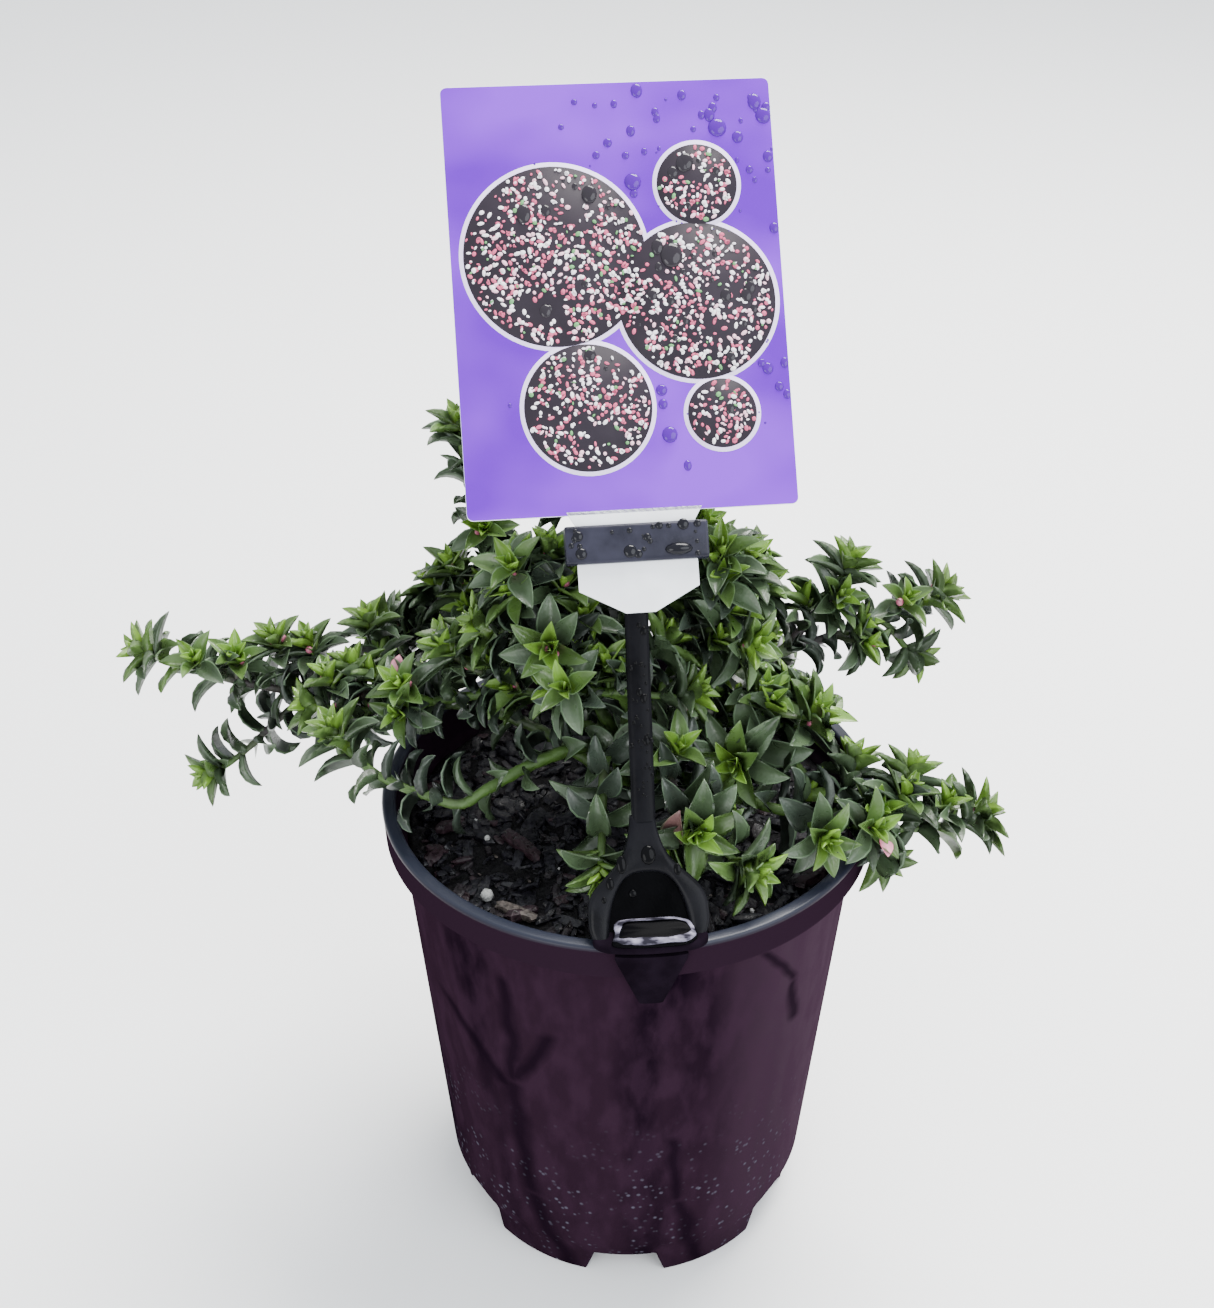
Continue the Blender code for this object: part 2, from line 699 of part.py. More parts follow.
def limb(name, points, radii, section, collection):
    """A tapering limb along points in millimetres, as a closed mesh."""
    curve = bpy.data.curves.new(name, "CURVE")
    curve.dimensions = "3D"
    curve.twist_mode = "MINIMUM"
    curve.bevel_mode = "OBJECT"
    curve.bevel_object = section
    curve.use_fill_caps = True
    spline = curve.splines.new("POLY")
    spline.points.add(len(points) - 1)
    for point, place, radius in zip(spline.points, points, radii):
        point.co = (*(place * MM), 1.0)
        point.radius = radius
    return mesh_of_curve(new_object(name + "_path", curve, collection), name, collection)


def tree_of(things):
    """One search tree over the faces of several objects, in millimetres."""
    points = []
    faces = []
    for thing in things:
        base = len(points)
        mesh = evaluated_mesh(thing)
        points += [(thing.matrix_world @ v.co) / MM for v in mesh.vertices]
        faces += [[base + i for i in face.vertices] for face in mesh.polygons]
        bpy.data.meshes.remove(mesh)
    return BVHTree.FromPolygons(points, faces)


def is_clear(samples, tree, distance):
    """Whether every sample point keeps its distance from the surfaces in the tree."""
    return all(tree.find_nearest(point, distance)[0] is None for point in samples)


def crosses(mesh, tree):
    """Whether a mesh cuts through any surface in the tree."""
    points = [v.co / MM for v in mesh.vertices]
    own = BVHTree.FromPolygons(points, [list(face.vertices) for face in mesh.polygons])
    return bool(own.overlap(tree))


def mesh_samples(mesh):
    """Corners, edge middles and face middles of a mesh, in millimetres."""
    corners = [v.co / MM for v in mesh.vertices]
    middles = [(corners[e.vertices[0]] + corners[e.vertices[1]]) / 2 for e in mesh.edges]
    return corners + middles + [f.center / MM for f in mesh.polygons]


def limb_samples(points, radius):
    """Points on and round a limb's axis, for the test of what it touches."""
    samples = []
    length = path_length(points)
    for distance in np.arange(0.0, length, 0.8):
        place, direction = along(points, distance)
        side, up = across(direction)
        samples.append(place)
        samples += [place + (side * math.cos(a) + up * math.sin(a)) * radius for a in (0.0, 1.6, 3.1, 4.7)]
    return samples


def across(direction):
    """Two unit directions at right angles to a limb: level, and as near up as can be."""
    side = direction.cross(Vector((0, 0, 1)))
    if side.length < 0.01:
        side = Vector((1, 0, 0))
    side.normalize()
    return side, side.cross(direction).normalized()


def make_trunk(parts, section):
    foot = MIX_TOP + MIX_DOME + GAP
    rise = TRUNK_FORK - foot
    shares = [share for share, _ in TRUNK_TAPER]
    radii = [radius for _, radius in TRUNK_TAPER]
    points = [Vector((TRUNK_LEAN[0] * s * s, TRUNK_LEAN[1] * s * s, foot + rise * s)) for s in shares]
    trunk = limb("trunk", points, radii, section, parts)
    trunk.data.materials.append(new_material("old_bark", (0.09, 0.06, 0.045), 0.8))
    return trunk


def make_bough(row, limbs, section, parts, material):
    """The bough, with its foot clear of the other limbs, and its tip's place and direction."""
    out = heading(row.azimuth, BOUGH_RISE)
    root = Vector((0, 0, row.leaves_at)) + polar(row.azimuth, TRUNK_RADIUS, 0)
    tip = polar(row.azimuth, row.reach, row.height)
    arriving = heading(row.azimuth, row.climb)
    radii = np.linspace(BOUGH_ROOT_RADIUS, BOUGH_TIP_RADIUS, BOUGH_POINTS)
    tree = tree_of(limbs)
    while True:
        points = bend(root, out, tip, arriving, BOUGH_POINTS)
        bough = limb(row.name, points, radii, section, parts)
        if is_clear(mesh_samples(bough.data), tree, GAP) and not crosses(bough.data, tree):
            break
        bpy.data.objects.remove(bough)
        root = root + out * BOUGH_STEP
    bough.data.materials.append(material)
    return bough, tip, (points[-1] - points[-2]).normalized()


# Foliage


def leaf_mesh(base, direction, inward, length, width):
    """A pointed leaf of eight faces: a sphere of four by two, drawn out from its foot to its tip."""
    bm = bmesh.new()
    bmesh.ops.create_uvsphere(bm, u_segments=4, v_segments=2, radius=1.0)
    side = direction.cross(inward).normalized()
    for vertex in bm.verts:
        x, y, z = vertex.co
        share = LEAF_BELLY if abs(z) < 0.5 else (z + 1) / 2
        if share < 0.01:
            lift = 0.0
        elif share < 0.9:
            lift = LEAF_ARCH * length + LEAF_CUP * width * abs(x) + y * LEAF_THICKNESS / 2
        else:
            lift = -LEAF_DROOP * length
        vertex.co = (base + direction * (share * length) + side * (x * width / 2) + inward * lift) * MM
    return mesh_from(bm, "leaf")


class Grower:
    """One mass as it grows: first its stems, then the leaves on them."""

    def __init__(self, row, section, random_source):
        self.row = row
        self.section = section
        self.random = random_source
        self.collection = bpy.data.collections.new(row.name + "_pieces")
        bpy.context.scene.collection.children.link(self.collection)
        self.turn = random_source.uniform(0, 360)
        self.shoots = []

    def lay_stems(self, tip, direction, beside, tree):
        """The main stem, in front of its bough's tip or beside it, and the side shoots that find room."""
        row = self.row
        end = polar(row.azimuth, row.reach, row.height)
        aim = (end - tip).normalized()
        leaving = (direction + aim).normalized()
        start = tip + leaving * GAP
        arriving = toward(end - tip, row.climb)
        count = max(4, round((end - tip).length / STEM_SEGMENT) + 2)
        aside = (aim - direction * aim.dot(direction)).normalized() if beside else aim
        radii = np.linspace(STEM_ROOT_RADIUS, STEM_TIP_RADIUS, count)
        for _ in range(START_TRIES):
            points = bend(start, leaving, end, arriving, count)
            if is_clear(limb_samples(points, STEM_ROOT_RADIUS), tree, GAP):
                self.stem = limb(row.name, points, radii, self.section, self.collection)
                if not crosses(self.stem.data, tree):
                    break
                bpy.data.objects.remove(self.stem)
            start = start + aside * START_STEP
        else:
            raise ValueError(f"{row.name}: its stem runs into another piece")
        self.shoots.append((points, STEM_FIRST_LEAF))
        for side_row in row.sides:
            self.lay_side(points, side_row, tree)

    def lay_side(self, points, side_row, tree):
        place, direction = along(points, side_row.share * path_length(points))
        end = polar(side_row.azimuth, side_row.reach, side_row.height)
        leaving = ((end - place).normalized() + direction * 0.5).normalized()
        arriving = toward(end - place, side_row.climb)
        count = max(3, round((end - place).length / TWIG_SEGMENT) + 1)
        side_points = bend(place, leaving, end, arriving, count)
        if not is_clear(limb_samples(side_points, TWIG_ROOT_RADIUS), tree, GAP):
            return
        radii = np.linspace(TWIG_ROOT_RADIUS, TWIG_TIP_RADIUS, count)
        twig = limb("twig", side_points, radii, self.section, self.collection)
        if crosses(twig.data, tree):
            bpy.data.objects.remove(twig)
            return
        self.shoots.append((side_points, TWIG_FIRST_LEAF))

    def dress(self, tree):
        """The leaves, each kept clear of everything but its own mass."""
        for points, first in self.shoots:
            self.leaves_along(points, first, tree)

    def leaves_along(self, points, first, tree):
        """A spiral of leaves, wide open low on the stem and closing into a rosette at its tip."""
        length = path_length(points)
        rosette = length - ROSETTE_DEPTH
        count = max(int((rosette - first) / LEAF_SPACING), 0)
        for i in range(count):
            distance = first + (i + self.random.uniform(0.2, 0.8)) * LEAF_SPACING
            self.turn += GOLDEN_ANGLE + self.random.uniform(-TURN_PLAY, TURN_PLAY)
            opening = blend(LEAF_OPENING, distance / length)
            opening += self.random.uniform(-OPENING_PLAY, OPENING_PLAY)
            size = self.random.uniform(*LEAF_SIZE_PLAY)
            self.add_leaf(along(points, distance), opening, size, 1.0, tree)
        for i in range(ROSETTE_LEAVES):
            share = (i + 0.5) / ROSETTE_LEAVES
            self.turn += GOLDEN_ANGLE
            foot = along(points, rosette + share * (ROSETTE_DEPTH - ROSETTE_END))
            self.add_leaf(foot, blend(ROSETTE_OPENING, share), blend(ROSETTE_SIZE, share), ROSETTE_SLIM, tree)

    def add_leaf(self, foot, opening, scale, slim, tree):
        """One leaf on a stem. One that comes too near another piece is turned, shortened, then skipped."""
        place, direction = foot
        side, up = across(direction)
        length = LEAF_LENGTH * scale * self.row.leaf
        width = LEAF_WIDTH * scale * slim * self.row.leaf
        for nudge, shrink in LEAF_RETRIES:
            turn = math.radians(self.turn + nudge)
            lean = math.radians(opening)
            outward = side * math.cos(turn) + up * math.sin(turn)
            leaf_direction = direction * math.cos(lean) + outward * math.sin(lean)
            inward = direction * math.sin(lean) - outward * math.cos(lean)
            base = place - leaf_direction * LEAF_SINK
            mesh = leaf_mesh(base, leaf_direction, inward, length * shrink, width * shrink)
            if is_clear(mesh_samples(mesh), tree, CLEAR) and not crosses(mesh, tree):
                new_object("leaf", mesh, self.collection)
                return
            bpy.data.meshes.remove(mesh)


def toward(across_gap, climb):
    """The level direction of a step, tilted to the climb given."""
    return heading(math.degrees(math.atan2(across_gap.y, across_gap.x)), climb)


def fuse(thing, collection):
    """Joins everything in a collection onto the thing by one Boolean, and keeps its one whole body."""
    add_boolean(thing, "UNION", collection=collection, solver="MANIFOLD")
    mesh = evaluated_mesh(thing)
    thing.modifiers.clear()
    for piece in list(collection.objects):
        bpy.data.objects.remove(piece)
    bpy.data.collections.remove(collection)
    thing.data = mesh
    keep_largest_body(mesh)
    mesh.name = thing.name


def keep_largest_body(mesh):
    """Drops a loose scrap, and the skin of a hollow that the joining sealed."""
    bm = bmesh.new()
    bm.from_mesh(mesh)
    left = set(bm.faces)
    bodies = []
    while left:
        start = left.pop()
        body = {start}
        edge_of = [start]
        while edge_of:
            face = edge_of.pop()
            for edge in face.edges:
                for other in edge.link_faces:
                    if other not in body:
                        body.add(other)
                        edge_of.append(other)
        left -= body
        bodies.append(body)
    bodies.sort(key=len)
    for body in bodies[:-1]:
        bmesh.ops.delete(bm, geom=list(body), context="FACES")
    loose = [v for v in bm.verts if not v.link_faces]
    bmesh.ops.delete(bm, geom=loose, context="VERTS")
    bm.to_mesh(mesh)
    bm.free()


def finish_mass(grower, parts, material):
    """The mass's stems and leaves as one solid."""
    mass = grower.stem
    grower.collection.objects.unlink(mass)
    parts.objects.link(mass)
    fuse(mass, grower.collection)
    mass.data.materials.clear()
    mass.data.materials.append(material)
    return mass


def make_masses(limbs, bough_tips, section, parts):
    """All stems first, so that no leaf takes another mass's room, and then the leaves, mass by mass."""
    growers = []
    pieces = {}
    for number, row in enumerate(MASSES):
        grower = Grower(row, section, random.Random(SEED + number))
        tree = tree_of([*limbs, *(piece for group in pieces.values() for piece in group)])
        beside = any(other.bough == row.bough for other in MASSES[:number])
        grower.lay_stems(*bough_tips[row.bough], beside, tree)
        growers.append(grower)
        pieces[row.name] = list(grower.collection.objects)
    leaf_green = new_material("leaf_green", (0.035, 0.09, 0.03), 0.45)
    for grower in growers:
        name = grower.row.name
        others = [piece for other, group in pieces.items() if other != name for piece in group]
        grower.dress(tree_of([*limbs, *others]))
        pieces[name] = [finish_mass(grower, parts, leaf_green)]


def main():
    for thing in list(bpy.data.objects):
        bpy.data.objects.remove(thing)
    scene = bpy.context.scene
    parts = bpy.data.collections.new("potted_waxflower")
    cutters = bpy.data.collections.new("cutters")
    scene.collection.children.link(parts)
    scene.collection.children.link(cutters)

    pot = make_pot(parts, cutters)
    mix = make_mix(parts)
    holder = make_holder(parts, cutters)
    label = make_label(parts)

    round_section = ring_curve("round_section", BOUGH_SIDES, cutters)
    twig_section = ring_curve("twig_section", 3, cutters)
    trunk = make_trunk(parts, round_section)
    green_bark = new_material("green_bark", (0.10, 0.13, 0.04), 0.7)
    limbs = [trunk]
    bough_tips = {}
    for row in BOUGHS:
        bough, tip, direction = make_bough(row, limbs, round_section, parts, green_bark)
        limbs.append(bough)
        bough_tips[row.name] = (tip, direction)
    make_masses([pot, mix, holder, label, *limbs], bough_tips, twig_section, parts)


main()
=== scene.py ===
"""Looks of a box-leaf waxflower in its nursery pot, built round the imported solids.

Metres and +Z up in Blender. The named sizes and the tables are in millimetres and degrees, in the frame
of the solids, and MM turns them into metres. -Y is the side that the label faces.
"""

import math
from typing import NamedTuple

import bpy
import numpy as np
from bpy.props import FloatProperty, FloatVectorProperty, IntProperty, PointerProperty
from mathutils import Matrix, Vector


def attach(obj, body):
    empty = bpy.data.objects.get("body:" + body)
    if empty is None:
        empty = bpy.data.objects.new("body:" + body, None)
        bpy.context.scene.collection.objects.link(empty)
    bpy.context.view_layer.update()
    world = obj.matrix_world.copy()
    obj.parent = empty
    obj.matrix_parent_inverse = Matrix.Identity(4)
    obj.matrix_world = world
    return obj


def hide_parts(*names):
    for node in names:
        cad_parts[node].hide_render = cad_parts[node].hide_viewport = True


bl_info = {
    "name": "Potted waxflower",
    "version": (1, 0, 0),
    "blender": (4, 5, 0),
    "location": "View3D > Sidebar > Waxflower",
    "description": "Bark, leaves, pot, label and light for a potted box-leaf waxflower",
    "category": "Object",
}

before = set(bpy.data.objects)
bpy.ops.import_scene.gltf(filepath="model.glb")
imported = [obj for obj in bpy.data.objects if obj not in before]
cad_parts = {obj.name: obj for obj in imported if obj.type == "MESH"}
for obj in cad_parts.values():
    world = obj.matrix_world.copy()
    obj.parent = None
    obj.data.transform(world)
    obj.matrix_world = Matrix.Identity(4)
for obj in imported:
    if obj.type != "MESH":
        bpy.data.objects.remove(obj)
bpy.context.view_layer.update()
MM = 0.001
UP = np.array([0, 0, 1.0])
SEED = 47

# Pot, the same sizes as its solid
POT_HEIGHT = 148.0
POT_RIM_RADIUS = 70.0
POT_WALL = 1.5
POT_SEGMENTS = 144
LIP_DEPTH = 10.0
LIP_WIDTH = 4.0
LIP_ROUND = 1.1
LIP_DRAFT = 0.5
WALL_TOP_RADIUS = 65.3
HEEL_RADIUS = 55.6
HEEL_HEIGHT = 17.0
HEEL_EASE = 0.6
FOOT_RADIUS = 52.0
FOOT_HEIGHT = 8.0
FOOT_BEVEL = 1.0
FOOT_DRAFT = 0.5
FOOT_RING = 5.0
CHANNEL_HEIGHT = 9.6
CENTRE_DISC_RADIUS = 17.0
HUB_RADIUS = 2.0  # the smallest ring of points about the axis
FLOOR_HEIGHT = 11.4
NOTCH_COUNT = 6
NOTCH_HALF_FOOT = 12.0
NOTCH_HALF_TOP = 9.2
NOTCH_HEIGHT = 9.2
DRAIN_COUNT = 6
DRAIN_RADIUS = 4.0
DRAIN_CIRCLE = 34.0

WATER_RUNS = (  # from X, Z to X, Z on the front of the wall, and half the width
    ((-33.2, 124.0), (-31.7, 82.0), 1.3),
    ((-31.7, 82.0), (-27.7, 33.6), 1.9),
    ((-27.7, 33.6), (-17.7, 0.0), 1.8),
    ((-52.0, 100.0), (-32.5, 78.0), 1.8),
    ((-21.0, 107.0), (-31.0, 83.0), 1.6),
    ((13.4, 66.0), (15.8, 36.8), 1.2),
    ((15.8, 36.8), (22.9, 0.0), 1.5),
    ((36.8, 133.0), (45.4, 114.0), 0.8),
    ((45.4, 114.0), (47.0, 96.0), 0.8),
)

WATER_RUN_EDGE = (2.3, 0.4)  # a run sets in and is full at these shares of its half width
WATER_RUN_END = 1.5  # it fades over this height on both sides of its end

# Potting mix
MIX_TOP = 134.5
MIX_DOME = 1.6
MIX_ROUGHNESS = 0.8
MIX_LUMPS = (9.0, 4.0)  # wavelengths of its lumps
MIX_SINK = 0.6  # how far its lumpy top is lowered
MIX_HUB_RADIUS = 1.2
MIX_RINGS = 54
MIX_CORNERS = 132
CHIP_REACH = 61.0
CHIP_LIMIT = 63.0  # no chip's end goes past this radius
CHIP_SPREAD = (0.60, 0.5)  # mean and deviation of the logarithm of a chip's half length
CHIP_SIZES = (0.7, 5.5)
CHIP_ROWS = (-62, -28, 5, 34, 64)  # where a chip's rings lie, in degrees from its middle
CHIP_CORNERS = 8
PERLITE_COUNT = 30
PERLITE_REACH = 59.0
PERLITE_SIZES = (0.35, 1.0)
PERLITE_RISE = 0.5
PERLITE_BALL = (-38.3, -36.5, 2.0)  # across, along and radius of the largest white grain
PALE_CHIP = (-30.0, -42.9, 6.5, 150.0)  # across, along, half length and turn of the pale bark chip
RED_SLIVER = (-30.0, -15.5, 9.0, 133.0)

# Label holder
HOLDER_TURN = 5.0
HOLDER_LEAN = 35.8
HOLDER_TWIST = 1.7
HOLDER_SWAY = -0.43
HOLDER_SEAT = (2.5, 2.0)  # how far its own frame stands in from the rim, and above it
CLIP_HALF_TURN = 12.4
CLIP_SKIRT = 2.0
CLIP_CORNER = 0.34  # share of its half turn over which the saddle's front corner is rounded off
CLIP_THICKNESS = 1.7
CLIP_EASE = 0.06  # how far its outer faces stay within the solid's
CLIP_STEP = 0.4  # how far the leg's top stays below the saddle's
CLIP_INNER_LEG = 9.0
CLIP_TONGUE = 17.0
TONGUE_HALF_WIDTH = 9.3
TONGUE_SHOULDER = 2.4
TONGUE_TIP_HALF_WIDTH = 3.0
TONGUE_START = 1.0  # how far below the rim it starts
ARCH_HALF_WIDTH = 15.6
ARCH_BAND = 5.2
ARCH_RISE = 21.5
ARCH_FULLNESS = 0.72
ARCH_FOOT = -1.2
ARCH_THICKNESS = 3.8
ARCH_WEB = 1.4
WEB_INSET = 0.3  # from the arch's back face to the web's
HOLDER_BACK = -3.9
STEM_WIDTH = 6.2
STEM_THICKNESS = 3.2
STEM_START = 29.0
STEM_SEAT = 3.0  # how far it goes up into the jaw
ARCH_NECK = 31.0
ARCH_SHOULDER = 16.7  # where the outline is half way from the arch's width to the stem's
ARCH_SLOPE = 5.6
ARCH_TOE = 1.8  # how far the outline draws in over its lowest part
ARCH_TOE_HEIGHT = 4.0
STEM_FOOT_CENTRE = 0.4
STEM_TOP_CENTRE = 2.6
JAW_WIDTH = 36.7
JAW_DEPTH = 9.9
JAW_START = 95.2
JAW_FRONT = 2.5
JAW_ENDS = ((1, 0.90), (0.995, 0.96), (0.985, 0.99), (0.96, 1))  # how far along, and how thick there
GAP = 0.3

# Label
LABEL_CENTRE = 3.2
LABEL_WIDTH = 85.5
LABEL_LENGTH = 112.0
LABEL_START = 107.9
LABEL_THICKNESS = 0.6
LABEL_CORNER = 1.6
TONGUE_WIDE = 35.2
TONGUE_WIDE_ENDS = (1.0, -2.5)  # the heights from the card's foot between which it narrows
TONGUE_NARROW = 31.0
TONGUE_SLANT_START = 88.4
TONGUE_END = 82.2
TONGUE_END_WIDTH = 7.6
PRINT_RISE = 0.03

# Water
DROP_ANGLES = (-14, 0, 22, 46, 70)  # where a drop's rings lie on its dome
ROUND_DROP = 0.62  # height of a drop as a share of its radius, on a leaf
FLAT_DROP = 0.36  # and on the label and its holder
LEAF_DROPS = 420
JAW_DROPS = 30
STEM_DROPS = 46
POOL_TURN = 0.6  # middle of the pool round the rim from the holder's middle, and its half width there
POOL_HALF_TURN = 8.9
POOL_RADIUS = 67.2
POOL_HALF_DEPTH = 4.4
POOL_ROUNDNESS = 0.45

# Plant
TRUNK_FORK = 166.0
TRUNK_RADIUS = 3.1
TRUNK_TAPER = ((0.0, 4.9), (0.06, 4.2), (0.18, 3.35), (0.45, TRUNK_RADIUS), (0.75, 2.85), (1.0, 2.3))
TRUNK_LEAN = (1.5, 0.9)
BOUGH_RISE = 38.0
BOUGH_RADII = (2.0, 1.5)
STEM_RADII = (1.5, 0.95)
TWIG_RADII = (1.15, 0.8)
SPUR_RADII = (0.85, 0.6)
STEM_EASE = 13.0  # a stem's bark takes this long to turn out of its bough's direction
WART_SIZES = (3.2, 1.5)  # wavelengths of the two ripples in the bark of a shoot
LIMB_POINTS = 40
SIDE_POINTS = 24
SPUR_POINTS = 10
SPUR_REACH = (7.0, 15.0)
SPUR_TURN = 150.0
GOLDEN_ANGLE = 137.5
ROSETTE_LEAVES = 15
SPUR_LEAVES = 9
ROSETTE_DEPTH = 6.0
ROSETTE_OPENING = (78.0, 8.0)
ROSETTE_SIZE = (1.0, 0.30)
ROSETTE_CURL = (36.0, -8.0)
ROSETTE_FOLD = (32.0, 52.0)
ROSETTE_YOUNG = 0.26  # share of the rosette from which its leaves are young, and then lime
ROSETTE_LIME = 0.56
LEAF_OPENING = (76.0, 58.0)
LEAF_SIZE = (0.84, 1.08)
LEAF_SLIMNESS = (0.88, 1.06)
LEAF_CURL = (30.0, 85.0)
LEAF_FOLD = (28.0, 52.0)
LEAF_LIFT = (0.1, 0.7)
LEAF_FULL = 0.45  # share of the shoot from which its leaves are full-grown and green, and then young
LEAF_YOUNG = 0.92
LEAF_TAPER = 1.1
LEAF_SWELL = (0.35, 2.85)
LEAF_WIDEST = 0.840  # largest value of the formula for the half width
LEAF_THICKNESS = 0.55
LEAF_ROWS = (0.0, 0.1, 0.24, 0.42, 0.62, 0.8, 0.92)
LEAF_ACROSS = (-1.0, -0.86, -0.45, 0.0, 0.45, 0.86, 1.0)
LEAF_NUDGES = ((0, 1.0), (24, 1.0), (-24, 0.95), (55, 0.9), (-55, 0.9), (12, 0.7), (180, 0.8))

REACH_LOW = (-142.6, -71.7, 1.0)  # leaves stay within the reach of the solid masses
REACH_HIGH = (102.2, 99.4, 328.0)

LEAF_AGES = ("old", "full", "young", "lime", "tinged")
TINGED_TIPS = ((11.0, -51.0, 175.1), (-27.0, 60.0, 200.0), (60.0, 40.0, 180.0))
PETAL_PLACES = (
    (67.0, -37.7, 157.8),
    (2.0, 18.0, 214.0),
    (30.0, 10.0, 205.0),
    (-62.0, 6.0, 181.0),
    (-20.0, 70.0, 188.0),
)


class Bough(NamedTuple):
    """One bare limb: where it leaves the trunk, where its tip is, and how steeply the tip climbs."""

    name: str
    leaves_at: float
    azimuth: float
    reach: float
    height: float
    climb: float


class Side(NamedTuple):
    """A side shoot: the share of its stem where it starts, and where its tip is."""

    share: float
    azimuth: float
    reach: float
    height: float
    climb: float


class Mass(NamedTuple):
    """One mass of foliage: its bough, its main tip, its leaf size, its short spurs and its side shoots."""

    name: str
    bough: str
    azimuth: float
    reach: float
    height: float
    climb: float
    leaf: float
    spurs: int
    sides: tuple


BOUGHS = (
    Bough("bough_left_back", 145, 160, 58.5, 160.5, -20),
    Bough("bough_front_left", 160, 206, 49, 157, -24),
    Bough("bough_front", 148, 250, 17, 169, -4),
    Bough("bough_front_right", 155, 294, 22, 170, 4),
    Bough("bough_right_front", 149, 325, 44, 160, -8),
    Bough("bough_right", 157, 350, 25, 172, 15),
    Bough("bough_right_back", 150, 30, 48, 176, 8),
    Bough("bough_back_right", 157, 58, 38, 168, 6),
    Bough("bough_back", 150, 90, 40, 174, 10),
    Bough("bough_back_left", 153, 130, 44, 175, 14),
    Bough("bough_left", 157, 170, 28, 175, 14),
    Bough("bough_top_left", 163, 185, 14, 190, 60),
    Bough("bough_top_right", 163, 12, 14, 190, 60),
    Bough("bough_top_front", 160, 262, 10, 184, 50),
    Bough("bough_top_back", 162, 96, 17, 194, 66),
)

MASSES = (
    Mass("foliage_far_left", "bough_left_back", 175, 138, 184, 32, 1.0, 3, (
        Side(0.14, 160, 80, 186, 70), Side(0.34, 167, 94, 182, 66), Side(0.45, 169, 103, 184, 70),
        Side(0.42, 180, 120, 150, 4), Side(0.66, 173, 112, 181, 60),
    )),
    Mass("foliage_left", "bough_left", 177, 90, 171, 20, 1.05, 7, (
        Side(0.45, 181, 63, 182, 55), Side(0.72, 172, 79, 181, 60),
    )),
    Mass("foliage_left_upper", "bough_left", 174, 51, 191, 62, 1.05, 5, ()),
    Mass("foliage_front_left", "bough_front_left", 190, 81, 176, 74, 1.05, 0, ()),
    Mass("foliage_front", "bough_front", 262, 51, 156, -16, 1.05, 0, ()),
    Mass("foliage_front_right", "bough_front_right", 291, 49, 166, 30, 1.2, 3, (
        Side(0.45, 305, 58, 155, 8),
    )),
    Mass("foliage_right_front", "bough_right_front", 346, 99, 157, 34, 1.1, 4, (
        Side(0.16, 322, 66, 160, 10), Side(0.30, 347, 63, 168, 80), Side(0.42, 339, 75, 143, -50),
        Side(0.55, 347, 79, 167, 50), Side(0.50, 337, 73, 160, 20),
    )),
    Mass("foliage_right", "bough_right", 349, 51, 179, 64, 1.3, 6, (
        Side(0.40, 318, 38, 174, 30),
    )),
    Mass("foliage_right_back", "bough_right_back", 21, 97, 192, 34, 1.0, 2, (
        Side(0.40, 23, 73, 185, 66), Side(0.62, 20, 90, 172, -12),
    )),
    Mass("foliage_right_back_upper", "bough_right_back", 29, 72, 202, 64, 1.0, 1, (
        Side(0.60, 25, 66, 194, 56),
    )),
    Mass("foliage_top_left", "bough_top_left", 171, 31, 217, 60, 1.2, 9, (
        Side(0.50, 160, 23, 220, 66), Side(0.35, 180, 40, 201, 46), Side(0.30, 215, 26, 203, 40),
    )),
    Mass("foliage_top_right", "bough_top_right", 10, 30, 218, 64, 1.2, 9, (
        Side(0.30, 351, 33, 199, 44), Side(0.35, 40, 30, 208, 50),
    )),
    Mass("foliage_top_front", "bough_top_front", 218, 24, 192, 30, 1.15, 8, (
        Side(0.35, 322, 22, 189, 40), Side(0.30, 345, 10, 199, 64),
    )),
    Mass("foliage_top_back", "bough_top_back", 84, 28, 236, 76, 1.1, 9, (
        Side(0.50, 45, 28, 222, 56), Side(0.45, 118, 42, 223, 52), Side(0.25, 160, 30, 212, 50),
        Side(0.30, 92, 44, 206, 40), Side(0.22, 62, 36, 200, 40),
    )),
    Mass("foliage_back_left", "bough_back_left", 141, 74, 187, 60, 1.1, 9, (
        Side(0.40, 135, 68, 185, 70), Side(0.45, 150, 86, 174, 40), Side(0.28, 120, 58, 190, 62),
    )),
    Mass("foliage_back_left_low", "bough_back_left", 145, 88, 168, 20, 1.1, 7, (
        Side(0.50, 152, 84, 172, 50),
    )),
    Mass("foliage_back_left_upper", "bough_back_left", 130, 78, 233, 84, 0.95, 3, (
        Side(0.48, 133, 62, 206, 60), Side(0.62, 124, 74, 215, 60),
    )),
    Mass("foliage_back", "bough_back", 88, 93, 186, 30, 1.15, 9, (
        Side(0.45, 76, 76, 168, 20), Side(0.50, 100, 76, 186, 56), Side(0.30, 99, 58, 191, 64),
        Side(0.26, 78, 60, 184, 50),
    )),
    Mass("foliage_back_trailing", "bough_back", 116, 92, 136, -46, 1.1, 5, (
        Side(0.50, 108, 80, 168, 40), Side(0.25, 126, 66, 170, 36),
    )),
    Mass("foliage_back_right", "bough_back_right", 60, 94, 130, -50, 1.1, 5, (
        Side(0.40, 66, 66, 170, 50), Side(0.25, 48, 62, 168, 30),
    )),
    Mass("foliage_back_right_upper", "bough_back_right", 58, 61, 196, 66, 1.1, 9, (
        Side(0.45, 80, 56, 190, 60), Side(0.30, 42, 52, 194, 60),
    )),
)


# Settings that a user would change


def length_setting(name, text, millimetres):
    return FloatProperty(name=name, description=text, default=millimetres * MM, min=0.0, unit="LENGTH")


def colour_setting(name, text, colour):
    return FloatVectorProperty(
        name=name, description=text, default=colour, subtype="COLOR", min=0.0, max=1.0,
    )


def count_setting(name, text, count):
    return IntProperty(name=name, description=text, default=count, min=0)


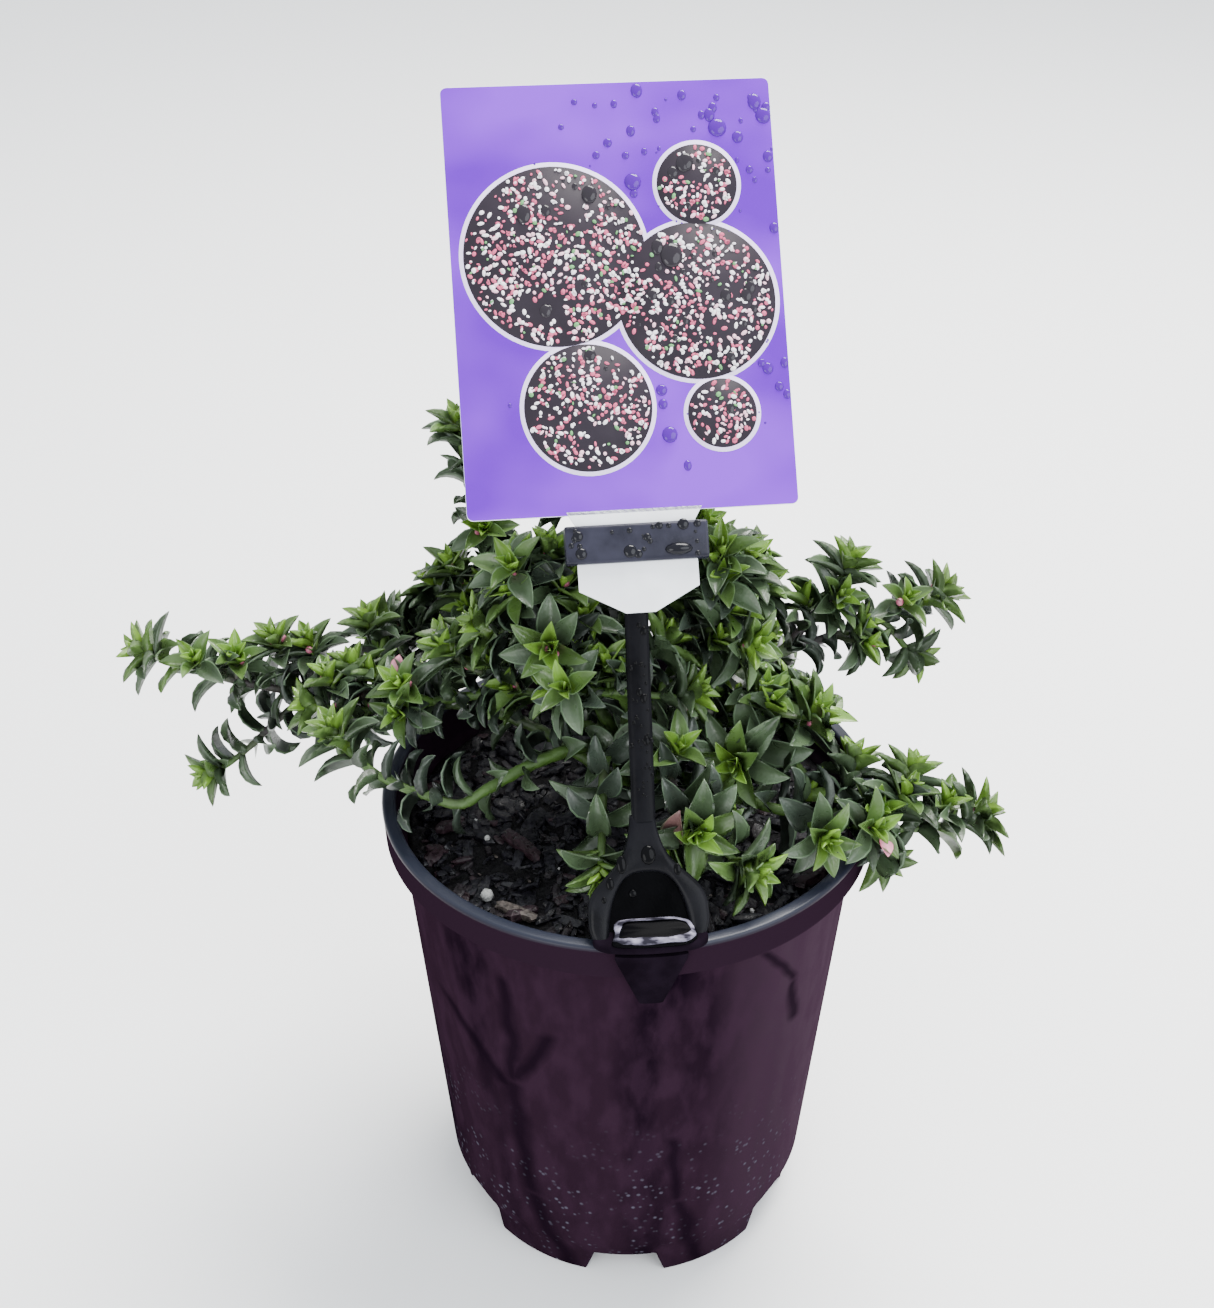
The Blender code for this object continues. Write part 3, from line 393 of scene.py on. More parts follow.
def strength_setting(name, text, value):
    return FloatProperty(name=name, description=text, default=value, min=0.0)


class WaxflowerPlant(bpy.types.PropertyGroup):
    """Leaves, stems and buds."""

    leaf_length: length_setting("Leaf length", "Length of a full-grown leaf", 13.2)
    leaf_width: length_setting("Leaf width", "Width of a full-grown leaf", 8.2)
    leaf_spacing: length_setting("Leaf spacing", "Distance along a stem from leaf to leaf", 2.3)
    bud_count: count_setting("Buds", "How many flower buds sit in the leaf axils", 150)
    old_leaf: colour_setting("Old leaf", "Leaves low on a shoot", (0.032, 0.044, 0.032))
    full_leaf: colour_setting("Full leaf", "Full-grown leaves", (0.042, 0.066, 0.033))
    young_leaf: colour_setting("Young leaf", "Leaves that open from a rosette", (0.060, 0.110, 0.027))
    lime_leaf: colour_setting("Lime leaf", "Leaves at the heart of a rosette", (0.110, 0.210, 0.027))
    tinged_leaf: colour_setting("Tinged leaf", "The few leaves that have turned", (0.170, 0.090, 0.085))
    leaf_margin: colour_setting("Leaf margin", "Pale edge of a leaf", (0.080, 0.130, 0.070))
    green_bark: colour_setting("Green bark", "Skin of the young shoots", (0.042, 0.094, 0.011))
    old_bark: colour_setting("Old bark", "Skin of the trunk and of older limbs", (0.024, 0.018, 0.018))
    bud_pink: colour_setting("Bud", "Flower buds and petals", (0.500, 0.135, 0.215))


class WaxflowerPot(bpy.types.PropertyGroup):
    """Pot and potting mix."""

    wall: colour_setting("Wall", "Purple-brown plastic of the pot", (0.0132, 0.0060, 0.0116))
    wet_wall: colour_setting("Wet wall", "Where water darkens the wall", (0.0034, 0.0016, 0.0040))
    lip: colour_setting("Lip", "Side of the rolled lip", (0.0124, 0.0060, 0.0114))
    # Painted reflection: the lip's top is coloured paler and bluer for the sky that it mirrors
    lip_top: colour_setting("Lip top", "Top of the lip, which mirrors the sky", (0.0120, 0.0140, 0.0235))
    # Painted sheen: a paler colour over the right side of the wall stands in for the light that side
    # reflects
    painted_side_sheen: colour_setting("Painted sheen", "Pale film on one side of the wall", (0.0380, 0.0215, 0.0335))
    splash: colour_setting("Splash", "Dried specks low on the wall", (0.060, 0.056, 0.075))
    chip_count: count_setting("Bark chips", "How many chips lie on the mix", 1900)
    mix: colour_setting("Mix", "The fine part of the potting mix", (0.0022, 0.0018, 0.0024))
    dark_chip: colour_setting("Dark chip", "Most of the bark chips", (0.0050, 0.0045, 0.0072))
    brown_chip: colour_setting("Brown chip", "The browner bark chips", (0.0115, 0.0086, 0.0108))
    red_chip: colour_setting("Red chip", "Reddish slivers of bark", (0.0185, 0.0092, 0.0125))
    pale_chip: colour_setting("Pale chip", "Grey chips and grit", (0.075, 0.062, 0.055))
    perlite: colour_setting("Perlite", "White grains", (0.500, 0.500, 0.480))


class WaxflowerLabel(bpy.types.PropertyGroup):
    """Label, its print and its holder."""

    plastic: colour_setting("Holder", "Dark slate plastic of the holder", (0.0030, 0.0030, 0.0040))
    # Painted reflection: the jaw is the holder's own plastic, coloured paler and bluer for the sky that it
    # mirrors
    jaw: colour_setting("Jaw", "The jaw, which mirrors the sky", (0.0135, 0.0135, 0.0220))
    clip: colour_setting("Clip", "The clip over the lip, in the pot's purple", (0.0046, 0.0029, 0.0052))
    ground: colour_setting("Ground", "Violet of the card", (0.100, 0.0, 0.400))
    # Painted highlight: the paler lavender patches stand in for the gloss on the card
    violet_painted_gloss: colour_setting("Light ground", "Where the violet pales", (0.190, 0.018, 0.600))
    card: colour_setting("Card", "Bare white plastic", (0.800, 0.820, 0.850))
    panel: colour_setting("Panel", "Dark ground of the printed roundels", (0.026, 0.021, 0.028))
    halo: colour_setting("Halo", "Pale line round a roundel", (0.760, 0.660, 0.920))
    rose: colour_setting("Rose", "Printed rose dots", (0.560, 0.110, 0.200))
    blush: colour_setting("Blush", "Printed pale pink dots", (0.850, 0.520, 0.620))
    white: colour_setting("White", "Printed white dots", (0.860, 0.820, 0.860))
    sprig: colour_setting("Sprig", "Printed green sprigs", (0.130, 0.330, 0.130))
    drop_count: count_setting("Drops", "How many water drops lie on the card", 130)


class WaxflowerStage(bpy.types.PropertyGroup):
    """Floor and light."""

    floor: colour_setting("Floor", "Plain pale floor", (0.860, 0.860, 0.860))
    sky: colour_setting("Sky", "Light from all round", (0.900, 0.950, 1.000))
    sky_strength: strength_setting("Sky strength", "How bright the sky is", 1.7)
    key_power: strength_setting("Light", "Power in watts that each light's own share goes with", 40.0)


# Surfaces


class Surface(NamedTuple):
    """Closed shapes: their points, faces of four and of three corners, and each face's finish."""

    points: np.ndarray
    quads: np.ndarray
    tris: np.ndarray
    quad_kinds: np.ndarray
    tri_kinds: np.ndarray


def unit(vectors):
    """Each vector divided by its length."""
    return vectors / np.maximum(np.linalg.norm(vectors, axis=-1, keepdims=True), 1e-12)


def between(ends, share):
    """The value that lies a share of the way from one end to the other."""
    return ends[0] + (ends[1] - ends[0]) * share


def powered(values, power):
    """The size of each value raised to a power, with the value's own sign."""
    return np.sign(values) * np.abs(values) ** power


def stacked(*values):
    """Values side by side, as the numbers of each point. One number may stand for all points."""
    return np.stack(np.broadcast_arrays(*values), axis=-1)


def around(count):
    """Angles spread evenly round a circle."""
    return np.arange(count) * math.tau / count


def about_axis(radius, angle, height):
    """Points at a radius from the pot's axis, an angle round it, and a height."""
    return stacked(radius * np.cos(angle), radius * np.sin(angle), height)


def arc(centre, radius, start, end, count):
    """Points on a circle in the plane, from one angle in degrees to another."""
    angle = np.radians(np.linspace(start, end, count))
    return stacked(centre[0] + radius * np.cos(angle), centre[1] + radius * np.sin(angle))


def skins(rings, first=None, last=None, kinds=None):
    """Closed skins over stacks of rings, one skin for each copy.

    rings has the shape (copies, rings, corners, 3). Neighbouring rings are joined by four-sided faces,
    and each end is closed by three-sided faces that meet in a pole, by default the end ring's middle.
    kinds holds a finish for each column of faces, or for each row and column.
    A copy whose signed volume is negative gets all its faces turned over.
    """
    copies, stack, corners, _ = rings.shape
    first = rings[:, 0].mean(axis=1) if first is None else first
    last = rings[:, -1].mean(axis=1) if last is None else last
    kinds = np.zeros(corners, int) if kinds is None else np.asarray(kinds)
    kinds = np.broadcast_to(kinds, (stack - 1, corners))
    points = np.concatenate([rings.reshape(copies, -1, 3), first[:, None], last[:, None]], axis=1)
    j = np.arange(corners)
    after = (j + 1) % corners
    row = np.arange(stack - 1)[:, None] * corners
    above = row + corners
    quads = stacked(row + j, row + after, above + after, above + j).reshape(-1, 4)
    start = stacked(stack * corners, after, j)
    top = (stack - 1) * corners
    end = stacked(stack * corners + 1, top + j, top + after)
    tris = np.concatenate([start, end])
    inside_out = signed_volumes(points, quads, tris) < 0
    base = (np.arange(copies) * points.shape[1])[:, None, None]
    all_quads = np.where(inside_out[:, None, None], quads[:, ::-1], quads) + base
    all_tris = np.where(inside_out[:, None, None], tris[:, ::-1], tris) + base
    return Surface(
        points.reshape(-1, 3),
        all_quads.reshape(-1, 4),
        all_tris.reshape(-1, 3),
        np.tile(kinds.ravel(), copies),
        np.tile(np.concatenate([kinds[0], kinds[-1]]), copies),
    )


def signed_volumes(points, quads, tris):
    """Volume of each copy: a sixth of the triple product of each triangle's corners, added up."""
    middle = points - points.mean(axis=1, keepdims=True)
    triangles = np.concatenate([quads[:, [0, 1, 2]], quads[:, [0, 2, 3]], tris])
    a, b, c = (middle[:, triangles[:, i]] for i in range(3))
    return np.einsum("ijk,ijk->i", a, np.cross(b, c)) / 6


def gather(surfaces):
    """Several surfaces as one."""
    surfaces = [surface for surface in surfaces if len(surface.points)]
    starts = np.cumsum([0] + [len(surface.points) for surface in surfaces])
    moved = [
        surface._replace(quads=surface.quads + start, tris=surface.tris + start)
        for surface, start in zip(surfaces, starts)
    ]
    return Surface(*(np.concatenate(column) for column in zip(*moved)))


def tinted(surface, kind):
    """The surface with all its faces in one finish, given by its place in the list of finishes."""
    quad_kinds = np.full(len(surface.quads), kind)
    return surface._replace(quad_kinds=quad_kinds, tri_kinds=np.full(len(surface.tris), kind))


def new_piece(name, surface, finishes, stands_for=(), crease=None):
    """A mesh object from a surface in millimetres, which rides on the root body."""
    mesh = bpy.data.meshes.new(name)
    corners = np.concatenate([surface.quads.ravel(), surface.tris.ravel()])
    four = len(surface.quads)
    starts = np.concatenate([np.arange(four) * 4, four * 4 + np.arange(len(surface.tris)) * 3])
    mesh.vertices.add(len(surface.points))
    mesh.vertices.foreach_set("co", (surface.points * MM).astype(np.float32).ravel())
    mesh.loops.add(len(corners))
    mesh.loops.foreach_set("vertex_index", corners.astype(np.int32))
    mesh.polygons.add(len(starts))
    mesh.polygons.foreach_set("loop_start", starts.astype(np.int32))
    mesh.polygons.foreach_set("use_smooth", np.ones(len(starts), bool))
    for finish in finishes:
        mesh.materials.append(finish)
    kinds = np.concatenate([surface.quad_kinds, surface.tri_kinds])
    mesh.polygons.foreach_set("material_index", kinds.astype(np.int32))
    mesh.update(calc_edges=True)
    if crease is not None:
        mesh.set_sharp_from_angle(angle=math.radians(crease))
    piece = bpy.data.objects.new(name, mesh)
    bpy.context.scene.collection.objects.link(piece)
    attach(piece, "root")
    if stands_for:
        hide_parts(*stands_for)
    return piece


def ripple(points, wavelength, random, waves=9):
    """Gentle noise from -1 to 1: the mean of sine waves with random directions and phases."""
    directions = unit(random.normal(size=(waves, 3)))
    lengths = wavelength * random.uniform(0.6, 1.7, waves)
    phases = random.uniform(0, math.tau, waves)
    return np.sin(points @ (directions / lengths[:, None]).T * math.tau + phases).mean(axis=-1) * 1.8


def round_section(points, half_width, half_thickness, power):
    """A rounded rectangle: a superellipse of the given power, as (across, through) pairs."""
    angle = around(points)
    across_it = powered(np.cos(angle), 2 / power) * half_width
    return stacked(across_it, powered(np.sin(angle), 2 / power) * half_thickness)


def swept(path, sides, ups, section, scale):
    """A section carried along a path: path + side x across + up x through, both times the scale there."""
    offsets = sides[:, None] * section[None, :, :1] + ups[:, None] * section[None, :, 1:]
    return skins((path[:, None] + offsets * scale[:, None, None])[None])


def turned_many(places, axes, ups, profile, stretch=1.0, corners=12):
    """Copies of a turned profile of (radius, height) pairs, drawn out along their own up direction.

    Each point is place + axis x height + (side x cos a + up x stretch x sin a) x radius. One axis, up
    direction or stretch may stand for all copies.
    """
    axes = unit(np.broadcast_to(axes, places.shape))
    ups = np.broadcast_to(ups, places.shape)
    ups = unit(ups - axes * np.einsum("ij,ij->i", ups, axes)[:, None])
    sides = np.cross(axes, ups)
    angle = around(corners)
    stretch = np.broadcast_to(np.asarray(stretch, float), len(places))
    circle = sides[:, None] * np.cos(angle)[None, :, None]
    circle = circle + ups[:, None] * np.sin(angle)[None, :, None] * stretch[:, None, None]
    radius, height = np.moveaxis(np.broadcast_to(profile, (len(places), *profile.shape[-2:])), -1, 0)
    rings = places[:, None, None] + circle[:, None] * radius[:, :, None, None]
    rings = rings + axes[:, None, None] * height[:, :, None, None]
    return skins(rings)


def drops_on(places, normals, ups, radii, stretch, height):
    """Water drops: flattened domes whose rim lies just under the surface that they sit on."""
    angle = np.radians(DROP_ANGLES)
    profile = stacked(np.cos(angle), np.sin(angle) * height)
    return turned_many(places, normals, ups, profile[None] * radii[:, None, None], stretch)


# Finishes


def new_finish(name, colour, roughness, **sockets):
    """A Principled finish. Everything that is the same all over is set on the shader itself."""
    finish = bpy.data.materials.new(name)
    finish.use_nodes = True
    shader = shader_of(finish)
    shader.inputs["Base Color"].default_value = (*colour, 1.0)
    shader.inputs["Roughness"].default_value = roughness
    for socket, value in sockets.items():
        shader.inputs[socket.replace("_", " ")].default_value = value
    finish.diffuse_color = (*colour, 1.0)
    return finish


def add_node(finish, kind, inputs=(), **settings):
    """A new node with its settings and the values of its inputs."""
    made = finish.node_tree.nodes.new(kind)
    for key, value in settings.items():
        setattr(made, key, value)
    for key, value in dict(inputs).items():
        made.inputs[key].default_value = value
    return made


def join(finish, source, target):
    """Links one node's output to another node's input."""
    finish.node_tree.links.new(source, target)


def shader_of(finish):
    """The node that holds a finish's colour, roughness and sheen."""
    return finish.node_tree.nodes["Principled BSDF"]


def spots(finish, scale, detail=3.0, stretch=(1.0, 1.0, 1.0), kind="ShaderNodeTexNoise"):
    """A noise or cell pattern on Object coordinates. Scale counts its features in a metre."""
    where = add_node(finish, "ShaderNodeTexCoord")
    mapping = add_node(finish, "ShaderNodeMapping", {"Scale": stretch})
    pattern = add_node(finish, kind, {"Scale": scale})
    if kind == "ShaderNodeTexNoise":
        pattern.inputs["Detail"].default_value = detail
    join(finish, where.outputs["Object"], mapping.inputs["Vector"])
    join(finish, mapping.outputs["Vector"], pattern.inputs["Vector"])
    return pattern.outputs["Fac"] if kind == "ShaderNodeTexNoise" else pattern.outputs["Distance"]


def remap(finish, value, low, high, start=0.0, end=1.0):
    """The value drawn out so that low gives start and high gives end, and held beyond them."""
    limits = {"From Min": low, "From Max": high, "To Min": start, "To Max": end}
    made = add_node(finish, "ShaderNodeMapRange", limits)
    join(finish, value, made.inputs["Value"])
    return made.outputs["Result"]


def combined(finish, operation, first, second):
    """Two values put together by a Math node's operation. The second may be a plain number."""
    made = add_node(finish, "ShaderNodeMath", operation=operation)
    join(finish, first, made.inputs[0])
    if isinstance(second, bpy.types.NodeSocket):
        join(finish, second, made.inputs[1])
    else:
        made.inputs[1].default_value = second
    return made.outputs[0]


def mixed(finish, factor, first, second):
    """Two colours mixed by a factor. Each colour is three numbers or a socket."""
    made = add_node(finish, "ShaderNodeMix", data_type="RGBA")
    join(finish, factor, made.inputs["Factor"])
    for value, key in ((first, "A"), (second, "B")):
        socket = [s for s in made.inputs if s.name == key and s.type == "RGBA"][0]
        if isinstance(value, bpy.types.NodeSocket):
            join(finish, value, socket)
        else:
            socket.default_value = (*value, 1.0)
    return [s for s in made.outputs if s.type == "RGBA"][0]


def object_axes(finish):
    """The X, Y and Z of a place in the object's own frame, in metres."""
    where = add_node(finish, "ShaderNodeTexCoord")
    axes = add_node(finish, "ShaderNodeSeparateXYZ")
    join(finish, where.outputs["Object"], axes.inputs["Vector"])
    return axes.outputs


def paint(finish, colour):
    """Links a colour to the shader."""
    join(finish, colour, shader_of(finish).inputs["Base Color"])


def mottle(finish, pattern, low, high, first, second):
    """The first colour where a pattern is low, the second where it is high, and a mix between."""
    paint(finish, mixed(finish, remap(finish, pattern, low, high), first, second))


def fade(finish, value, stretch, start=0.0, end=1.0):
    """Goes from start to end over a stretch of the value, whose ends are given in millimetres."""
    return remap(finish, value, stretch[0] * MM, stretch[1] * MM, start, end)


def roughen(finish, value, low, high):
    """Roughness that goes from low to high with a pattern."""
    join(finish, remap(finish, value, 0.3, 0.7, low, high), shader_of(finish).inputs["Roughness"])


def emboss(finish, value, distance, strength=1.0):
    """Relief of the given depth in millimetres."""
    made = add_node(finish, "ShaderNodeBump", {"Distance": distance * MM, "Strength": strength})
    join(finish, value, made.inputs["Height"])
    join(finish, made.outputs["Normal"], shader_of(finish).inputs["Normal"])


def scaled(colour, share):
    """A colour times a share, which is darker where the share is under 1."""
    return tuple(channel * share for channel in colour)


def leaf_finish(name, colour, roughness):
    """A leaf's skin: faint mottling, tiny oil glands and a soft sheen."""
    finish = new_finish(name, colour, roughness, Specular_IOR_Level=0.45)
    mottle(finish, spots(finish, 90.0, 2.0), 0.35, 0.65, scaled(colour, 0.70), scaled(colour, 1.38))
    roughen(finish, spots(finish, 260.0, 2.0), roughness - 0.14, roughness + 0.12)
    emboss(finish, spots(finish, 1300.0, kind="ShaderNodeTexVoronoi"), 0.10, 0.5)
    return finish


def bark_finish(name, young, old, scale):
    """Warty skin, green with darker and browner stretches."""
    finish = new_finish(name, young, 0.55)
    mottle(finish, spots(finish, scale, 4.0), 0.42, 0.62, young, old)
    emboss(finish, spots(finish, 900.0, 4.0), 0.35, 0.8)
    return finish


def wet_finish(name, colour, sheen=0.3):
    """Water so thin that it shows the colour under it, darker, with sharp small lights."""
    return new_finish(name, colour, 0.07, Specular_IOR_Level=sheen)


# Paths


def polar(azimuth, reach, height):
    """A point from its azimuth in degrees, its reach and its height."""
    angle = math.radians(azimuth)
    return np.array([reach * math.cos(angle), reach * math.sin(angle), height])


def heading(azimuth, climb):
    """A unit direction from its azimuth and its climb above the level."""
    level = math.radians(climb)
    return polar(azimuth, 1.0, 0.0) * math.cos(level) + UP * math.sin(level)


def toward(step, climb):
    """The level direction of a step, tilted to the climb given."""
    return heading(math.degrees(math.atan2(step[1], step[0])), climb)


def bend(start, leaving, end, arriving, count):
    """Points along a cubic curve that leaves and arrives in the directions given."""
    handle = np.linalg.norm(end - start) / 3
    first = start + leaving * handle
    second = end - arriving * handle
    t = np.linspace(0, 1, count)[:, None]
    s = 1 - t
    return start * s**3 + first * (3 * s * s * t) + second * (3 * s * t * t) + end * t**3


def distances_of(path):
    """How far along the path each of its points lies."""
    return np.concatenate([[0.0], np.cumsum(np.linalg.norm(np.diff(path, axis=0), axis=1))])


def read_off(distances, marks, values):
    """The values at some distances, evenly between those of the nearest marks."""
    return stacked(*(np.interp(distances, marks, column) for column in values.T))


def along(path, distances):
    """Places and directions at distances along a path."""
    marks = distances_of(path)
    tangents = unit(np.gradient(path, marks, axis=0))
    return read_off(distances, marks, path), unit(read_off(distances, marks, tangents))


def across(directions):
    """Two unit directions at right angles to each direction: level, and as near up as can be."""
    side = np.cross(directions, UP)
    steep = np.linalg.norm(side, axis=-1, keepdims=True) < 0.01
    side = unit(np.where(steep, np.array([1.0, 0.0, 0.0]), side))
    return side, unit(np.cross(side, directions))


# What the plant keeps clear of


def holder_matrix():
    """From the holder's own frame, X along the rim and Z up the label, to the pot's, in millimetres."""
    turn = Matrix.Rotation(math.radians(HOLDER_TURN), 4, "Z")
    seat = Matrix.Translation((0, HOLDER_SEAT[0] - POT_RIM_RADIUS, POT_HEIGHT + HOLDER_SEAT[1]))
    twist = Matrix.Rotation(math.radians(HOLDER_TWIST), 4, "Z")
    lean = Matrix.Rotation(math.radians(-HOLDER_LEAN), 4, "X")
    sway = Matrix.Rotation(math.radians(HOLDER_SWAY), 4, "Y")
    return np.array(turn @ seat @ twist @ lean @ sway)


HOLDER = holder_matrix()


def from_holder(points):
    """Points in the holder's own frame, in the pot's frame."""
    return points @ HOLDER[:3, :3].T + HOLDER[:3, 3]


def to_holder(points):
    """Points in the pot's frame, in the holder's own frame."""
    return (points - HOLDER[:3, 3]) @ HOLDER[:3, :3]


def inner_wall_radius(height):
    """Inside radius of the pot's wall at a height between its heel and its lip."""
    share = (height - HEEL_HEIGHT) / (POT_HEIGHT - LIP_DEPTH - HEEL_HEIGHT)
    return between((HEEL_RADIUS, WALL_TOP_RADIUS), share) - POT_WALL


def stem_centre(height):
    """How far the holder's stem has moved across at a height up the label."""
    share = (height - STEM_START) / (JAW_START - STEM_START)
    return between((STEM_FOOT_CENTRE, STEM_TOP_CENTRE), share)


def within(values, low, high, keep=0.0):
    """Which values lie from low to high, or nearer to that stretch than keep."""
    return (values > low - keep) & (values < high + keep)


def blocked(points, keep=0.35):
    """Which points lie in another piece, or nearer to it than keep, or beyond the plant's reach."""
    radius = np.hypot(points[..., 0], points[..., 1])
    z = points[..., 2]
    lip = z > POT_HEIGHT - LIP_DEPTH
    inner = np.where(lip, POT_RIM_RADIUS - LIP_WIDTH, inner_wall_radius(z))
    outer = np.where(lip, POT_RIM_RADIUS, inner_wall_radius(z) + POT_WALL)
    pot = (z < POT_HEIGHT + keep) & (radius > inner - keep) & (radius < outer + keep)
    mix = (radius < inner) & (z < MIX_TOP + MIX_DOME + keep)
    local = to_holder(points)
    x, y, up = local[..., 0], local[..., 1], local[..., 2]
    thin = within(y, -LABEL_THICKNESS, LABEL_THICKNESS, keep)
    deep = within(y, 0.0, -HOLDER_BACK, keep)
    aside = np.abs(x - LABEL_CENTRE) - keep
    card = thin & (aside < LABEL_WIDTH / 2) & within(up, LABEL_START, LABEL_START + LABEL_LENGTH, keep)
    tongue = thin & (aside < TONGUE_WIDE / 2) & within(up, TONGUE_END - keep, LABEL_START)
    jaw = within(y, -JAW_FRONT, -HOLDER_BACK, keep) & (aside < JAW_WIDTH / 2)
    jaw &= within(up, JAW_START, JAW_START + JAW_DEPTH, keep)
    stem = deep & (np.abs(x - stem_centre(up)) < STEM_WIDTH / 2 + keep) & within(up, STEM_START, JAW_START)
    arch = deep & (np.abs(x) < ARCH_HALF_WIDTH + keep) & within(up, ARCH_FOOT - 3, ARCH_RISE + keep)
    angle = np.degrees(np.arctan2(points[..., 1], points[..., 0])) - HOLDER_TURN + 90
    clip = (np.abs(angle) < CLIP_HALF_TURN + 0.5) & (radius > inner - 4) & (radius < POT_RIM_RADIUS + 3)
    clip &= (z > POT_HEIGHT - CLIP_INNER_LEG) & (z < POT_HEIGHT + CLIP_THICKNESS + 1)
    beyond = ((points < np.array(REACH_LOW)) | (points > np.array(REACH_HIGH))).any(axis=-1)
    return pot | mix | card | tongue | jaw | stem | arch | clip | beyond


# Growth


class Shoot(NamedTuple):
    """A leafy shoot: its path, its radii, where its leaves start, their size, and its terminal rosette."""

    kind: str
    path: np.ndarray
    radii: tuple
    first: float
    spacing: float
    leaf: float
    rosette: float
    heart: int  # the rosette's innermost leaves are this age
    bark: np.ndarray  # the path that its bark follows


def bough_path(row):
    """The curve of a bough from inside the trunk out to its tip."""
    root = row.leaves_at * UP + polar(row.azimuth, 0.3 * TRUNK_RADIUS, 0)
    tip = polar(row.azimuth, row.reach, row.height)
    leaving = heading(row.azimuth, BOUGH_RISE)
    return bend(root, leaving, tip, heading(row.azimuth, row.climb), LIMB_POINTS)


def stem_path(row, bough):
    """The curve of a mass's stem, which goes on from its bough's tip."""
    tip = bough[-1]
    direction = unit(bough[-1] - bough[-2])
    end = polar(row.azimuth, row.reach, row.height)
    leaving = unit(direction + unit(end - tip))
    return bend(tip - direction, leaving, end, toward(end - tip, row.climb), LIMB_POINTS)


def eased_start(path, leaving):
    """The path, drawn toward a line in the direction given by (1 - s / ease) squared at a distance s."""
    marks = distances_of(path)
    distance = np.concatenate([np.arange(0, STEM_EASE, 0.5), marks[marks > STEM_EASE]])
    places = along(path, distance)[0]
    line = path[0] + leaving * distance[:, None]
    share = np.clip(1 - distance / STEM_EASE, 0, 1)[:, None] ** 2
    return places + (line - places) * share


def side_path(stem, row):
    """The curve of a side shoot from its place on the stem to its tip."""
    place, direction = (value[0] for value in along(stem, np.array([row.share * distances_of(stem)[-1]])))
    end = polar(row.azimuth, row.reach, row.height)
    leaving = unit(unit(end - place) + direction * 0.5)
    return bend(place, leaving, end, toward(end - place, row.climb), SIDE_POINTS)


def spurs_on(shoot, count, leaf, random):
    """Short shoots from the leaf axils, which turn up as they grow.

    One that meets another piece is left out.
    """
    length = distances_of(shoot.path)[-1]
    room = length - shoot.first - ROSETTE_DEPTH
    distances = shoot.first + (np.arange(count) + random.uniform(0.1, 0.9, count)) * room / max(count, 1)
    places, directions = along(shoot.path, distances)
    side, up = across(directions)
    turn = random.uniform(-SPUR_TURN, SPUR_TURN, count)[:, None]
    outward = up * np.cos(np.radians(turn)) + side * np.sin(np.radians(turn))
    leaving = unit(directions * 0.7 + outward + 0.25 * UP)
    reach = random.uniform(*SPUR_REACH, count)
    spurs = []
    for place, leave, size in zip(places, leaving, reach):
        arriving = unit(leave + 0.5 * UP)
        path = bend(place, leave, place + unit(leave + arriving) * size, arriving, SPUR_POINTS)
        if not blocked(path[2:], 1.5).any():
            spurs.append(Shoot("spur", path, SPUR_RADII, 2.5, 2.8, leaf, 0.85, 3, path))
    return spurs


def grow():
    """All shoots of the plant: the boughs, then each mass's stem with its side shoots and its spurs."""
    random = np.random.default_rng(SEED)
    spacing = bpy.context.scene.waxflower_plant.leaf_spacing / MM
    boughs = {row.name: bough_path(row) for row in BOUGHS}
    shoots = []
    for path in boughs.values():
        first = 0.28 * distances_of(path)[-1]
        shoots.append(Shoot("bough", path, BOUGH_RADII, first, 1.7 * spacing, 1.0, 0.0, 1, path))
    for row in MASSES:
        bough = boughs[row.bough]
        path = stem_path(row, bough)
        bark = eased_start(path, unit(bough[-1] - bough[-2]))
        stem = Shoot("stem", path, STEM_RADII, 1.0, spacing, row.leaf, 1.0, 3, bark)
        shoots.append(stem)
        for side in row.sides:
            path = side_path(stem.path, side)
            shoots.append(Shoot("twig", path, TWIG_RADII, 2.5, spacing, row.leaf, 0.9, 3, path))
        shoots += spurs_on(stem, row.spurs, row.leaf, random)
    return shoots


class Leaves(NamedTuple):
    """Leaves as columns: foot on the stem's axis, stem direction, turn, opening, size, shape and age."""

    foot: np.ndarray
    axis: np.ndarray
    turn: np.ndarray
    opening: np.ndarray
    length: np.ndarray
    width: np.ndarray
    curl: np.ndarray
    fold: np.ndarray
    lift: np.ndarray
    radius: np.ndarray
    age: np.ndarray


